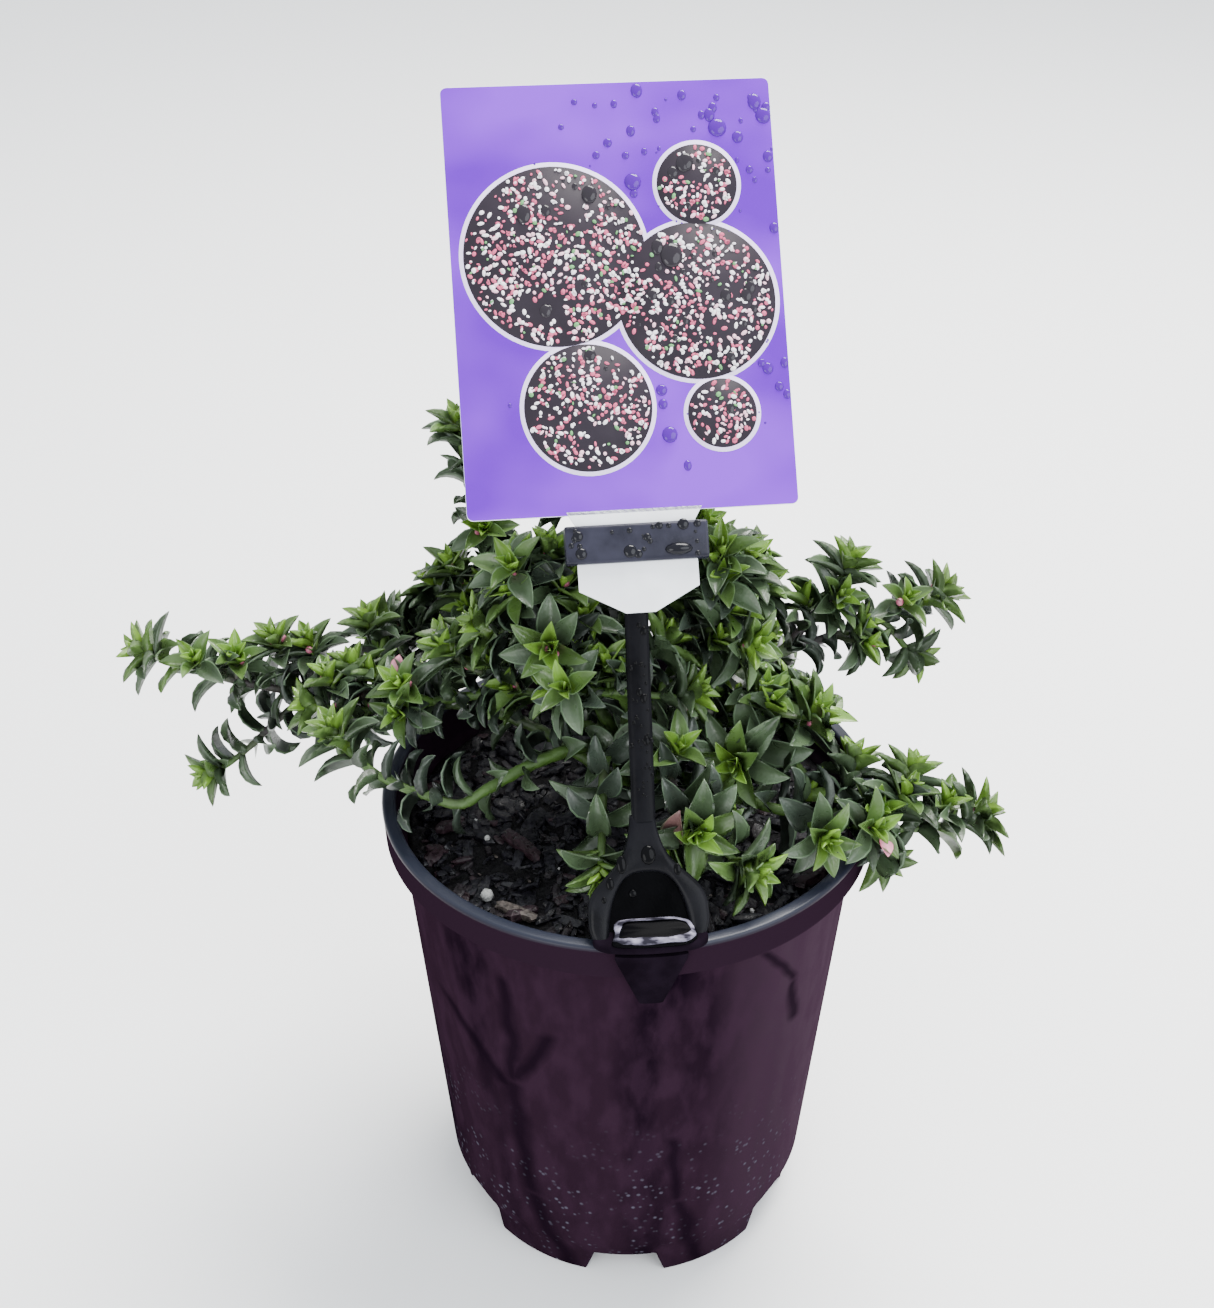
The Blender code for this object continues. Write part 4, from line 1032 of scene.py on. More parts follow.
def leaves_of(shoot, random):
    """The spiral of leaves on one shoot, wide open low down, and the rosette that closes its tip."""
    settings = bpy.context.scene.waxflower_plant
    length = distances_of(shoot.path)[-1]
    last = length - (ROSETTE_DEPTH if shoot.rosette else 0.0)
    count = max(int((last - shoot.first) / shoot.spacing), 0)
    rosette = {"bough": 0, "spur": SPUR_LEAVES}.get(shoot.kind, ROSETTE_LEAVES)
    low = shoot.first + (np.arange(count) + random.uniform(0.2, 0.8, count)) * shoot.spacing
    share = (np.arange(rosette) + 0.5) / max(rosette, 1)
    distance = np.concatenate([low, last + share * (ROSETTE_DEPTH - 0.6)])
    foot, axis = along(shoot.path, distance)
    total = count + rosette
    turn = random.uniform(0, 360) + np.arange(total) * GOLDEN_ANGLE + random.uniform(-11, 11, total)
    part = low / length
    opening = between(LEAF_OPENING, part) + random.uniform(-10, 10, count)
    size = random.uniform(*LEAF_SIZE, count)
    shrink = between(ROSETTE_SIZE, share**2.2) * max(shoot.rosette, 0.1)
    scale = np.concatenate([size, shrink]) * shoot.leaf
    slim = np.concatenate([random.uniform(*LEAF_SLIMNESS, count), np.full(rosette, 0.96)])
    curl = random.uniform(*LEAF_CURL, count)
    curl = np.concatenate([curl, between(ROSETTE_CURL, share) + random.uniform(-8, 8, rosette)])
    fold = np.concatenate([random.uniform(*LEAF_FOLD, count), between(ROSETTE_FOLD, share)])
    lift = np.concatenate([random.uniform(*LEAF_LIFT, count), np.zeros(rosette)])
    youth = part + random.uniform(-0.25, 0.25, count)
    age = np.digitize(youth, (LEAF_FULL, LEAF_YOUNG))
    heart = 1 + np.digitize(share, (ROSETTE_YOUNG, ROSETTE_LIME))
    return Leaves(
        foot=foot,
        axis=axis,
        turn=turn,
        opening=np.concatenate([opening, between(ROSETTE_OPENING, share**1.1)]),
        length=scale * settings.leaf_length / MM,
        width=scale * slim * settings.leaf_width / MM,
        curl=np.radians(curl),
        fold=np.radians(fold),
        lift=lift,
        radius=between(shoot.radii, distance / length),
        age=np.concatenate([age, np.minimum(heart, shoot.heart)]),
    )


def leaf_frames(leaves, nudge):
    """Each leaf's own direction and upper side, at its turn round the stem plus a nudge."""
    side, up = across(leaves.axis)
    turn = np.radians(leaves.turn + nudge)[:, None]
    lean = np.radians(leaves.opening)[:, None]
    outward = side * np.cos(turn) + up * np.sin(turn)
    direction = leaves.axis * np.cos(lean) + outward * np.sin(lean)
    direction = unit(direction + UP * leaves.lift[:, None])
    upper = leaves.axis * np.sin(lean) - outward * np.cos(lean)
    upper = unit(upper - direction * np.einsum("ij,ij->i", upper, direction)[:, None])
    foot = leaves.foot + outward * leaves.radius[:, None] * 0.55
    return foot, direction, upper


def leaf_rings(leaves, nudge, shrink):
    """Rings of eight points across each leaf, its tip, and its upper side at each ring.

    The midrib has turned by curl x u to the power 1.5 at a share u of the length. Half the width there
    goes with (1 - u) to the power 1.1, times 0.35 + 2.85 u. The two halves fold up from the midrib, and
    the eighth point is the keel below it.
    """
    foot, direction, upper = leaf_frames(leaves, nudge)
    length = (leaves.length * shrink)[:, None]
    width = (leaves.width * shrink)[:, None]
    curl = leaves.curl[:, None]
    side = np.cross(direction, upper)
    rows = np.append(LEAF_ROWS, 1.0)[None]
    angle = curl * rows**1.5
    middle = curl * ((rows[:, 1:] + rows[:, :-1]) / 2) ** 1.5
    steps = length * np.diff(rows)
    ahead = np.pad(np.cumsum(steps * np.cos(middle), axis=1), ((0, 0), (1, 0)))
    below = np.pad(np.cumsum(steps * np.sin(middle), axis=1), ((0, 0), (1, 0)))
    spine = foot[:, None] + direction[:, None] * ahead[..., None] - upper[:, None] * below[..., None]
    face = upper[:, None] * np.cos(angle)[..., None] + direction[:, None] * np.sin(angle)[..., None]
    half = width / 2 * (1 - rows) ** LEAF_TAPER * (LEAF_SWELL[0] + LEAF_SWELL[1] * rows) / LEAF_WIDEST
    v = np.array(LEAF_ACROSS)
    fold = leaves.fold[:, None, None]
    sideways = half[..., None] * v * np.cos(fold)
    raised = half[..., None] * np.abs(v) ** 1.25 * np.sin(fold)
    top = spine[:, :, None] + side[:, None, None] * sideways[..., None]
    top = top + face[:, :, None] * raised[..., None]
    keel = spine - face * (LEAF_THICKNESS * (0.4 + 0.6 * half / (width / 2)))[..., None]
    rings = np.concatenate([top, keel[:, :, None]], axis=2)[:, :-1]
    return rings, spine[:, -1], face


def settle(leaves):
    """Turns and shrinks a leaf that runs into another piece, and drops it where nothing helps."""
    nudge = np.zeros(len(leaves.turn))
    shrink = np.ones(len(leaves.turn))
    open_yet = np.ones(len(leaves.turn), bool)
    for turn, size in LEAF_NUDGES:
        nudge[open_yet] = turn
        shrink[open_yet] = size
        rings, tip, _ = leaf_rings(leaves, nudge, shrink)
        samples = np.concatenate([rings.reshape(len(rings), -1, 3)[:, ::2], tip[:, None]], axis=1)
        open_yet &= blocked(samples).any(axis=1)
    keep = ~open_yet
    return Leaves(*(column[keep] for column in leaves)), nudge[keep], shrink[keep]


def tube(shoot, corners, relief, random):
    """A round tapering shoot with warts.

    The radius goes evenly from one end to the other, and is multiplied by 1 plus two ripples.
    """
    marks = distances_of(shoot.bark)
    count = max(int(marks[-1] / 1.0), 6)
    distance = np.linspace(0, marks[-1], count)
    place, direction = along(shoot.bark, distance)
    steep = abs(unit(place[-1] - place[0])[2]) >= 0.8
    reference = np.array([1.0, 0, 0]) if steep else UP
    side = unit(np.cross(direction, reference))
    up = np.cross(side, direction)
    angle = around(corners)
    circle = side[:, None] * np.cos(angle)[None, :, None] + up[:, None] * np.sin(angle)[None, :, None]
    radius = np.interp(distance, [0, marks[-1]], shoot.radii)
    rings = place[:, None] + circle * radius[:, None, None]
    coarse, fine = (ripple(rings, size, random) for size in WART_SIZES)
    warts = 1 + relief * coarse + 0.5 * relief * fine
    rings = place[:, None] + circle * (radius[:, None] * warts)[..., None]
    return skins(rings[None], place[:1] - direction[:1] * 0.4, place[-1:] + direction[-1:] * radius[-1])


# Pieces, each group with the operator that makes it


FRAME_HEIGHT = 36.0
FOCAL_LENGTH = 49.54
CAMERA_PLACE = (0.0, -410.59, 457.68)
CAMERA_PITCH = 32.94
CAMERA_ROLL = 0.46
CAMERA_SHIFT = -0.01743
FLOOR_HALF = 3000.0
LIGHT_AIM = (0.0, 0.0, 0.17)  # in metres, as are the lights' places and sizes
LIGHTS = (
    ("key", (0.35, 0.5, 1.35), 0.9, 1.5, (1.0, 0.98, 0.95)),
    ("fill", (0.9, -0.9, 0.9), 1.2, 0.45, (0.92, 0.96, 1.0)),
    ("front", (-0.6, -1.2, 0.5), 0.8, 0.25, (1.0, 1.0, 1.0)),
)


def make_floor(settings):
    """A large flat square at the pot's foot."""
    mesh = bpy.data.meshes.new("floor")
    half = FLOOR_HALF * MM
    corners = [(-half, -half, 0), (half, -half, 0), (half, half, 0), (-half, half, 0)]
    mesh.from_pydata(corners, [], [(0, 1, 2, 3)])
    floor = bpy.data.objects.new("floor", mesh)
    bpy.context.scene.collection.objects.link(floor)
    finish = new_finish("floor", settings.floor, 0.9)
    mottle(finish, spots(finish, 3.0, 2.0), 0.3, 0.7, scaled(settings.floor, 0.99), settings.floor)
    mesh.materials.append(finish)


def make_camera(scene):
    """The camera is pitched down from the level, then rolled about the line of sight."""
    lens = bpy.data.cameras.new("camera")
    lens.sensor_fit = "VERTICAL"
    lens.sensor_height = FRAME_HEIGHT
    lens.lens = FOCAL_LENGTH
    lens.shift_x = CAMERA_SHIFT
    lens.clip_start = 0.01
    camera = bpy.data.objects.new("camera", lens)
    pitch = Matrix.Rotation(math.radians(90 - CAMERA_PITCH), 4, "X")
    roll = Matrix.Rotation(math.radians(CAMERA_ROLL), 4, "Z")
    camera.matrix_world = Matrix.Translation(Vector(CAMERA_PLACE) * MM) @ pitch @ roll
    scene.collection.objects.link(camera)
    scene.camera = camera


def add_light(name, place, size, power, colour):
    """A round area light that looks at the plant."""
    lamp = bpy.data.lights.new(name, "AREA")
    lamp.shape = "DISK"
    lamp.size = size
    lamp.energy = power
    lamp.color = colour
    light = bpy.data.objects.new(name, lamp)
    light.location = place
    aim = Vector(LIGHT_AIM) - Vector(place)
    light.rotation_euler = aim.to_track_quat("-Z", "Y").to_euler()
    bpy.context.scene.collection.objects.link(light)


class WAXFLOWER_OT_stage(bpy.types.Operator):
    """A plain pale floor, soft studio light and the camera"""

    bl_idname = "waxflower.stage"
    bl_label = "Stage"

    def execute(self, context):
        settings = context.scene.waxflower_stage
        make_camera(context.scene)
        make_floor(settings)
        world = bpy.data.worlds.new("studio")
        world.use_nodes = True
        background = world.node_tree.nodes["Background"]
        background.inputs["Color"].default_value = (*settings.sky, 1.0)
        background.inputs["Strength"].default_value = settings.sky_strength
        context.scene.world = world
        for name, place, size, share, colour in LIGHTS:
            add_light(name, place, size, share * settings.key_power, colour)
        return {"FINISHED"}


def pot_profile():
    """Along the floor, up the inside, over the lip, down the outside and back under the foot."""
    lip_foot = POT_HEIGHT - LIP_DEPTH
    bend_height = POT_HEIGHT - LIP_ROUND
    inner_bend = arc((POT_RIM_RADIUS - LIP_WIDTH + LIP_ROUND, bend_height), LIP_ROUND, 180, 90, 6)
    outer_bend = arc((POT_RIM_RADIUS - LIP_ROUND, bend_height), LIP_ROUND, 90, 0, 6)
    inside_heights = np.linspace(HEEL_HEIGHT + HEEL_EASE, lip_foot, 12)
    inside = stacked(inner_wall_radius(inside_heights), inside_heights)
    outside_heights = np.linspace(lip_foot - LIP_DRAFT, HEEL_HEIGHT, 24)
    outside = stacked(inner_wall_radius(outside_heights) + POT_WALL, outside_heights)
    floor = [(radius, FLOOR_HEIGHT) for radius in (HUB_RADIUS, 0.5 * FOOT_RADIUS, FOOT_RADIUS - POT_WALL)]
    foot = [
        (FOOT_RADIUS + FOOT_DRAFT, FOOT_HEIGHT),
        (FOOT_RADIUS, FOOT_BEVEL),
        (FOOT_RADIUS - 0.3 * FOOT_BEVEL, 0.3 * FOOT_BEVEL),
        (FOOT_RADIUS - FOOT_BEVEL, 0.0),
        (FOOT_RADIUS - FOOT_RING, 0.0),
        (FOOT_RADIUS - FOOT_RING - FOOT_DRAFT, CHANNEL_HEIGHT),
        (CENTRE_DISC_RADIUS + FOOT_DRAFT, CHANNEL_HEIGHT),
        (CENTRE_DISC_RADIUS, 0.0),
        (HUB_RADIUS, 0.0),
    ]
    lip_side = (POT_RIM_RADIUS - 0.5 * LIP_DRAFT, POT_HEIGHT - 0.4 * LIP_DEPTH)
    lip_end = [lip_side, (POT_RIM_RADIUS - LIP_DRAFT, lip_foot)]
    return np.concatenate([floor, inside, inner_bend, outer_bend, lip_end, outside, foot])


def notch_angles():
    """Angles round the pot, evenly spread, with the corners of each notch added between them."""
    even = np.linspace(0, 360, POT_SEGMENTS, endpoint=False)
    corners = np.degrees(np.arcsin(np.array([NOTCH_HALF_FOOT, NOTCH_HALF_TOP]) / FOOT_RADIUS))
    middles = 270 + 360 * np.arange(NOTCH_COUNT) / NOTCH_COUNT
    extra = (middles[:, None] + np.concatenate([corners, -corners])[None]).ravel() % 360
    return np.radians(np.sort(np.concatenate([even + 0.13, extra])))


def notch_rise(angles):
    """How high the foot is cut away: full between the notch's top corners, none past its foot corners."""
    step = math.tau / NOTCH_COUNT
    offset = (angles - math.radians(270) + step / 2) % step - step / 2
    aside = np.abs(FOOT_RADIUS * np.sin(offset))
    share = (NOTCH_HALF_FOOT - aside) / (NOTCH_HALF_FOOT - NOTCH_HALF_TOP)
    return NOTCH_HEIGHT * np.clip(share, 0, 1)


POT_CREASE = 38
PAINTED_SHEEN_FADE = (22.0, 56.0)  # the painted sheen, a paler colour over the right side of the wall, sets in over this stretch of X
SPLASH_FADE = (75.0, 35.0)  # the dried specks set in over this stretch of the height, downward
LIP_FADE = (136.5, 138.5)  # the heights over which the wall goes over into the lip
LIP_TOP_FADE = (146.6, 147.8)  # and the lip's side into its top, whose paler bluish colour is a painted reflection of the sky
RUN_WANDER = (-1.5 * MM, 1.5 * MM)  # how far a run of water strays to either side


def drill_floor(pot):
    """Six round drain holes through the floor."""
    turns = np.radians(360 * (np.arange(DRAIN_COUNT) + 0.5) / DRAIN_COUNT)
    places = about_axis(DRAIN_CIRCLE, turns, 0.0)
    profile = np.array([(DRAIN_RADIUS, CHANNEL_HEIGHT - 3), (DRAIN_RADIUS, FLOOR_HEIGHT + 3)])
    bits = turned_many(places, UP, (1.0, 0, 0), profile, corners=20)
    drills = new_piece("drills", bits, [])
    cut = pot.modifiers.new("Drains", "BOOLEAN")
    cut.object = drills
    cut.operation = "DIFFERENCE"
    bpy.context.view_layer.update()
    graph = bpy.context.evaluated_depsgraph_get()
    mesh = bpy.data.meshes.new_from_object(pot.evaluated_get(graph))
    pot.modifiers.clear()
    pot.data = mesh
    bpy.data.objects.remove(drills)


def pot_plastic(settings):
    """Purple-brown wall, darker where water runs down it, with dried specks, a painted sheen that pales
    its right side, and a slate lip whose top has a painted reflection of the sky.
    """
    finish = new_finish("pot_plastic_wet", settings.wall, 0.4, Specular_IOR_Level=0.0)
    axes = object_axes(finish)
    z = axes["Z"]
    runs = remap(finish, spots(finish, 38.0, 2.0, stretch=(1.0, 1.0, 0.15)), 0.50, 0.66)
    wall = mixed(finish, runs, settings.wall, settings.wet_wall)
    # Painted sheen: the wall grows paler toward its right side
    painted_sheen_share = fade(finish, axes["X"], PAINTED_SHEEN_FADE, 0.0, 0.9)
    wall = mixed(finish, painted_sheen_share, wall, settings.painted_side_sheen)
    fine = remap(finish, spots(finish, 160.0, 6.0, stretch=(1.0, 1.0, 0.4)), 0.42, 0.62)
    faint = remap(finish, fine, 0.0, 1.0, 0.0, 0.45)
    wall = mixed(finish, faint, wall, scaled(settings.wall, 1.8))
    wall = mixed(finish, wall_specks(finish, z), wall, settings.splash)
    wander = remap(finish, spots(finish, 48.0, 2.0), 0.3, 0.7, *RUN_WANDER)
    x = combined(finish, "ADD", axes["X"], wander)
    darkened = None
    for start, end, half_width in WATER_RUNS:
        run = water_run(finish, x, z, start, end, half_width)
        darkened = combined(finish, "MAXIMUM", darkened, run) if darkened else run
    wall = mixed(finish, combined(finish, "MULTIPLY", darkened, 0.75), wall, settings.wet_wall)
    wall = mixed(finish, fade(finish, z, LIP_FADE), wall, settings.lip)
    # Painted reflection: the lip's top takes a paler bluish colour for the sky that it mirrors
    paint(finish, mixed(finish, fade(finish, z, LIP_TOP_FADE), wall, settings.lip_top))
    gloss = fade(finish, z, LIP_TOP_FADE, 0.0, 0.22)
    join(finish, gloss, shader_of(finish).inputs["Specular IOR Level"])
    roughen(finish, spots(finish, 40.0, 4.0), 0.26, 0.46)
    emboss(finish, spots(finish, 55.0, 5.0, stretch=(1.0, 1.0, 0.3)), 0.5, 0.25)
    return finish


def wall_specks(finish, z):
    """How far a place lies on a dried speck: dots low on the wall, in some patches only."""
    cells = spots(finish, 400.0, kind="ShaderNodeTexVoronoi")
    dots = remap(finish, cells, 0.13, 0.30, 0.9, 0.0)
    low = fade(finish, z, SPLASH_FADE)
    sparse = remap(finish, spots(finish, 90.0, 3.0), 0.46, 0.58)
    return combined(finish, "MULTIPLY", combined(finish, "MULTIPLY", dots, low), sparse)


def water_run(finish, x, z, start, end, half_width):
    """How far a place lies on a dark run of water, by its X from the line's at that height."""
    centre = remap(finish, z, end[1] * MM, start[1] * MM, end[0] * MM, start[0] * MM)
    away = combined(finish, "ABSOLUTE", combined(finish, "SUBTRACT", x, centre), 0.0)
    near = fade(finish, away, [half_width * share for share in WATER_RUN_EDGE])
    above = fade(finish, z, (end[1] - WATER_RUN_END, end[1] + WATER_RUN_END))
    below = fade(finish, z, (start[1] + WATER_RUN_END, start[1] - WATER_RUN_END))
    return combined(finish, "MULTIPLY", combined(finish, "MULTIPLY", near, above), below)


class WAXFLOWER_OT_pot(bpy.types.Operator):
    """The moulded pot, with its rolled lip, its notched foot and its drain holes"""

    bl_idname = "waxflower.pot"
    bl_label = "Pot"

    def execute(self, context):
        profile = pot_profile()
        angles = notch_angles()
        radius, height = profile[:, :1], profile[:, 1:]
        cut = (radius > FOOT_RADIUS - FOOT_RING - 0.1) & (height < NOTCH_HEIGHT)
        height = np.where(cut, np.maximum(height, notch_rise(angles)), height)
        hubs = (FLOOR_HEIGHT * UP[None], 0 * UP[None])
        shell = skins(about_axis(radius, angles, height)[None], *hubs)
        finish = pot_plastic(context.scene.waxflower_pot)
        pot = new_piece("pot_shell", shell, [finish], ["pot"])
        drill_floor(pot)
        pot.data.set_sharp_from_angle(angle=math.radians(POT_CREASE))
        return {"FINISHED"}


def mix_height(x, y):
    """Top of the mix: a shallow dome with lumps, the same each time it is asked for."""
    radius = np.hypot(x, y)
    points = stacked(x, y, 0.0)
    random = np.random.default_rng(SEED)
    lumps = ripple(points, MIX_LUMPS[0], random) + 0.5 * ripple(points, MIX_LUMPS[1], random)
    dome = MIX_DOME * (1 - (radius / WALL_TOP_RADIUS) ** 2)
    return MIX_TOP + dome + MIX_ROUGHNESS * lumps - MIX_SINK


def rotations(angles, axis):
    """A rotation about one axis, counted from 0, for each angle."""
    one, other = (axis + 1) % 3, (axis + 2) % 3
    matrices = np.tile(np.eye(3), (len(angles), 1, 1))
    matrices[:, one, one] = matrices[:, other, other] = np.cos(angles)
    matrices[:, other, one] = np.sin(angles)
    matrices[:, one, other] = -np.sin(angles)
    return matrices


def spin_matrices(turns, tilts, random):
    """Rotations that turn each copy about Z and then tip it about a random level axis."""
    azimuth = random.uniform(0, math.tau, len(turns))
    return rotations(azimuth, 2) @ rotations(tilts, 0) @ rotations(turns - azimuth, 2)


def chips(places, halves, turns, tilts, random, power=3.2, rough=0.16):
    """Splinters of bark: superellipsoids, boxy and drawn out, with each point moved a little at random."""
    rows = np.radians(CHIP_ROWS)[:, None]
    columns = around(CHIP_CORNERS)
    level = powered(np.cos(rows), 2 / power)
    unit_rings = stacked(
        level * powered(np.cos(columns), 2 / power),
        level * powered(np.sin(columns), 2 / power),
        powered(np.sin(rows), 2 / power),
    )
    rings = unit_rings[None] * halves[:, None, None]
    rings = rings * (1 + random.uniform(-rough, rough, rings.shape[:3]))[..., None]
    rings = np.einsum("nij,nrkj->nrki", spin_matrices(turns, tilts, random), rings)
    return skins(rings + places[:, None, None])


def scattered(reach, count, random):
    """Distances from the pot's axis and angles round it that are even over a disc."""
    return reach * np.sqrt(random.uniform(0, 1, count)), random.uniform(0, math.tau, count)


CHIP_KINDS = (  # each kind of chip, and the stretch of an even draw that gives it
    ("dark", 0.0, 0.70),
    ("brown", 0.70, 0.91),
    ("red", 0.91, 0.975),
    ("pale", 0.975, 1.0),
)
LARGE_CHIPS = {"pale": PALE_CHIP, "red": RED_SLIVER}
LARGE_CHIP_RISE = 2.0
LARGE_CHIP_BREADTH = 0.24  # share of its half length
LARGE_CHIP_DEPTH = 1.4


def large_chip(row, random):
    """One long flat chip that lies on the mix at its place and turn."""
    x, y, length, turn = row
    place = np.array([[x, y, mix_height(x, y) + LARGE_CHIP_RISE]])
    size = np.array([[length, LARGE_CHIP_BREADTH * length, LARGE_CHIP_DEPTH]])
    return chips(place, size, np.radians([turn]), np.array([0.05]), random)


def make_mix_body(settings):
    """Rings from the middle out to the wall, then down inside the wall and in under the body."""
    radii = np.linspace(MIX_HUB_RADIUS, inner_wall_radius(MIX_TOP) - GAP, MIX_RINGS)[:, None]
    angles = around(MIX_CORNERS)
    top = about_axis(radii, angles, mix_height(radii * np.cos(angles), radii * np.sin(angles)))
    heel = HEEL_HEIGHT + HEEL_EASE
    low = np.array([
        (inner_wall_radius(heel) - GAP, heel),
        (FOOT_RADIUS - POT_WALL - 2 * GAP, FLOOR_HEIGHT + GAP),
        (MIX_HUB_RADIUS, FLOOR_HEIGHT + GAP),
    ])
    body = skins(np.concatenate([top, about_axis(low[:, :1], angles, low[:, 1:])])[None])
    finish = new_finish("bark_mix_fine", settings.mix, 0.7, Specular_IOR_Level=0.2)
    grain = spots(finish, 300.0, 6.0)
    mottle(finish, grain, 0.4, 0.7, scaled(settings.mix, 0.5), scaled(settings.mix, 2.6))
    emboss(finish, grain, 2.2, 1.0)
    new_piece("mix_body", body, [finish], ["potting_mix"])


def make_perlite(settings, random):
    """White grains: the largest by the front left wall, and a scatter of small ones."""
    reach, azimuth = scattered(PERLITE_REACH, PERLITE_COUNT, random)
    x, y = reach * np.cos(azimuth), reach * np.sin(azimuth)
    size = random.uniform(*PERLITE_SIZES, PERLITE_COUNT)
    x[0], y[0], size[0] = PERLITE_BALL
    places = stacked(x, y, mix_height(x, y) + size + PERLITE_RISE)
    halves = size[:, None] * random.uniform(0.8, 1.0, (PERLITE_COUNT, 3))
    grains = chips(places, halves, azimuth, np.zeros(PERLITE_COUNT), random, power=2.2, rough=0.12)
    finish = new_finish("perlite_white", settings.perlite, 0.9)
    pits = spots(finish, 1500.0, 4.0)
    mottle(finish, pits, 0.35, 0.6, scaled(settings.perlite, 0.55), settings.perlite)
    emboss(finish, pits, 0.4, 0.8)
    new_piece("perlite_grains", grains, [finish])


def chip_bark(name, colour):
    """Fibrous bark, wet enough to catch some light."""
    finish = new_finish(f"bark_{name}", colour, 0.5, Specular_IOR_Level=0.35)
    fibre = spots(finish, 700.0, 5.0)
    mottle(finish, fibre, 0.35, 0.65, scaled(colour, 0.5), scaled(colour, 1.8))
    roughen(finish, fibre, 0.22, 0.7)
    emboss(finish, fibre, 0.5, 0.8)
    return finish


class WAXFLOWER_OT_mix(bpy.types.Operator):
    """The potting mix, with bark chips, slivers, grit and perlite on its lumpy top"""

    bl_idname = "waxflower.mix"
    bl_label = "Potting mix"

    def execute(self, context):
        settings = context.scene.waxflower_pot
        random = np.random.default_rng(SEED + 1)
        make_mix_body(settings)
        count = settings.chip_count
        reach, azimuth = scattered(CHIP_REACH, count, random)
        half = np.clip(random.lognormal(*CHIP_SPREAD, count), *CHIP_SIZES)
        reach = np.minimum(reach, CHIP_LIMIT - half)
        x, y = reach * np.cos(azimuth), reach * np.sin(azimuth)
        breadth = half * random.uniform(0.3, 0.62, count)
        depth = half * random.uniform(0.14, 0.4, count)
        halves = stacked(half, breadth, depth)
        places = stacked(x, y, mix_height(x, y) + depth * 0.6)
        turns = random.uniform(0, math.tau, count)
        tilts = random.normal(0, 0.42, count)
        draw = random.uniform(size=count)
        for name, low, high in CHIP_KINDS:
            mine = (draw >= low) & (draw < high)
            sizes = halves[mine] * (0.4 if name == "pale" else 1.0)
            surfaces = [chips(places[mine], sizes, turns[mine], tilts[mine], random)]
            if name in LARGE_CHIPS:
                surfaces.append(large_chip(LARGE_CHIPS[name], random))
            bark = chip_bark(name, getattr(settings, f"{name}_chip"))
            new_piece(f"chips_{name}", gather(surfaces), [bark], crease=32)
        make_perlite(settings, random)
        return {"FINISHED"}


def arch_inside(count):
    """Inner edge of the arch: across it goes half times cosine to the fullness, up it rise times sine."""
    angle = np.radians(np.linspace(0, 180, count))
    x = (ARCH_HALF_WIDTH - ARCH_BAND) * powered(np.cos(angle), ARCH_FULLNESS)
    rise = ARCH_RISE - ARCH_BAND - ARCH_FOOT
    return stacked(x, ARCH_FOOT + rise * np.sin(angle))


def arch_outside(count):
    """Outer edge, from foot to foot over the neck where the stem begins.

    At a height z it is half the stem's width from the middle, plus the rest of the arch's half width
    divided by 1 + (z / shoulder) to the power slope. Near its foot it draws in by the toe times the square
    of how far it has come down.
    """
    z = np.linspace(ARCH_FOOT, ARCH_NECK, 60)
    rest = ARCH_HALF_WIDTH - STEM_WIDTH / 2
    x = STEM_WIDTH / 2 + rest / (1 + (np.maximum(z, 0) / ARCH_SHOULDER) ** ARCH_SLOPE)
    x = x - (x[-1] - STEM_WIDTH / 2) * (np.maximum(z, 0) / ARCH_NECK) ** 4
    x = x - ARCH_TOE * np.clip((ARCH_TOE_HEIGHT - z) / (ARCH_TOE_HEIGHT - ARCH_FOOT), 0, 1) ** 2
    right = stacked(x, z)
    return evenly(np.concatenate([right, right[::-1] * np.array([-1, 1])]), count)


def evenly(edge, count):
    """Points at even steps along a line of points."""
    marks = distances_of(edge)
    return read_off(np.linspace(0, marks[-1], count), marks, edge)


HOLDER_CREASE = 50
ARCH_THIN_START = 22.0  # from here up to its neck the band goes over to the stem's thickness
ARCH_SHEEN_FADE = (164.0, 173.0)  # over these the arch's sheen goes over into the stem's


def holder_plastic(name, colour, sheen):
    """Dark moulded plastic, cloudy and a little grained."""
    finish = new_finish(name, colour, 0.28, Specular_IOR_Level=sheen)
    cloud = spots(finish, 120.0, 4.0)
    mottle(finish, cloud, 0.35, 0.65, scaled(colour, 0.7), scaled(colour, 1.5))
    roughen(finish, cloud, 0.2, 0.4)
    emboss(finish, spots(finish, 1100.0, 2.0), 0.06, 0.5)
    return finish


def arch_ring():
    """A rounded band between the arch's two edges, which widens into the stem's foot at the top."""
    count = 97
    inside = evenly(arch_inside(181), count)
    outside = arch_outside(count)
    section = round_section(24, 1.0, 1.0, 3.0)
    middle = (inside + outside) / 2
    reach = (outside - inside) / 2
    flat = middle[:, None] + reach[:, None] * section[None, :, :1]
    ends = [ARCH_THICKNESS, STEM_THICKNESS - 0.1]
    eased = np.interp(flat[..., 1], [ARCH_THIN_START, ARCH_NECK], ends)
    depth = -(HOLDER_BACK + eased / 2) + section[:, 1] * eased / 2
    return placed(skins(stacked(flat[..., 0], depth, flat[..., 1])[None]))


def arch_web():
    """The recessed plate inside the arch: across = share x half width at that height."""
    x, z = (arch_inside(81)[:41] * np.array([1.08, 1.04])).T
    back = np.full_like(x, -HOLDER_BACK - WEB_INSET)
    front = back - ARCH_WEB
    rings = np.array([(-x, front, z), (x, front, z), (x, back, z), (-x, back, z)])
    return placed(skins(np.moveaxis(rings, -1, 0)[None]))


def holder_stem():
    """A bar with rounded edges, from the arch's neck to the jaw."""
    heights = np.linspace(STEM_START, JAW_START + STEM_SEAT, 24)
    depth = np.full(len(heights), -(HOLDER_BACK + STEM_THICKNESS / 2))
    path = stacked(stem_centre(heights), depth, heights)
    section = round_section(20, STEM_WIDTH / 2, STEM_THICKNESS / 2, 3.2)
    return holder_bar(path, (1.0, 0, 0), section, np.ones(len(heights)))


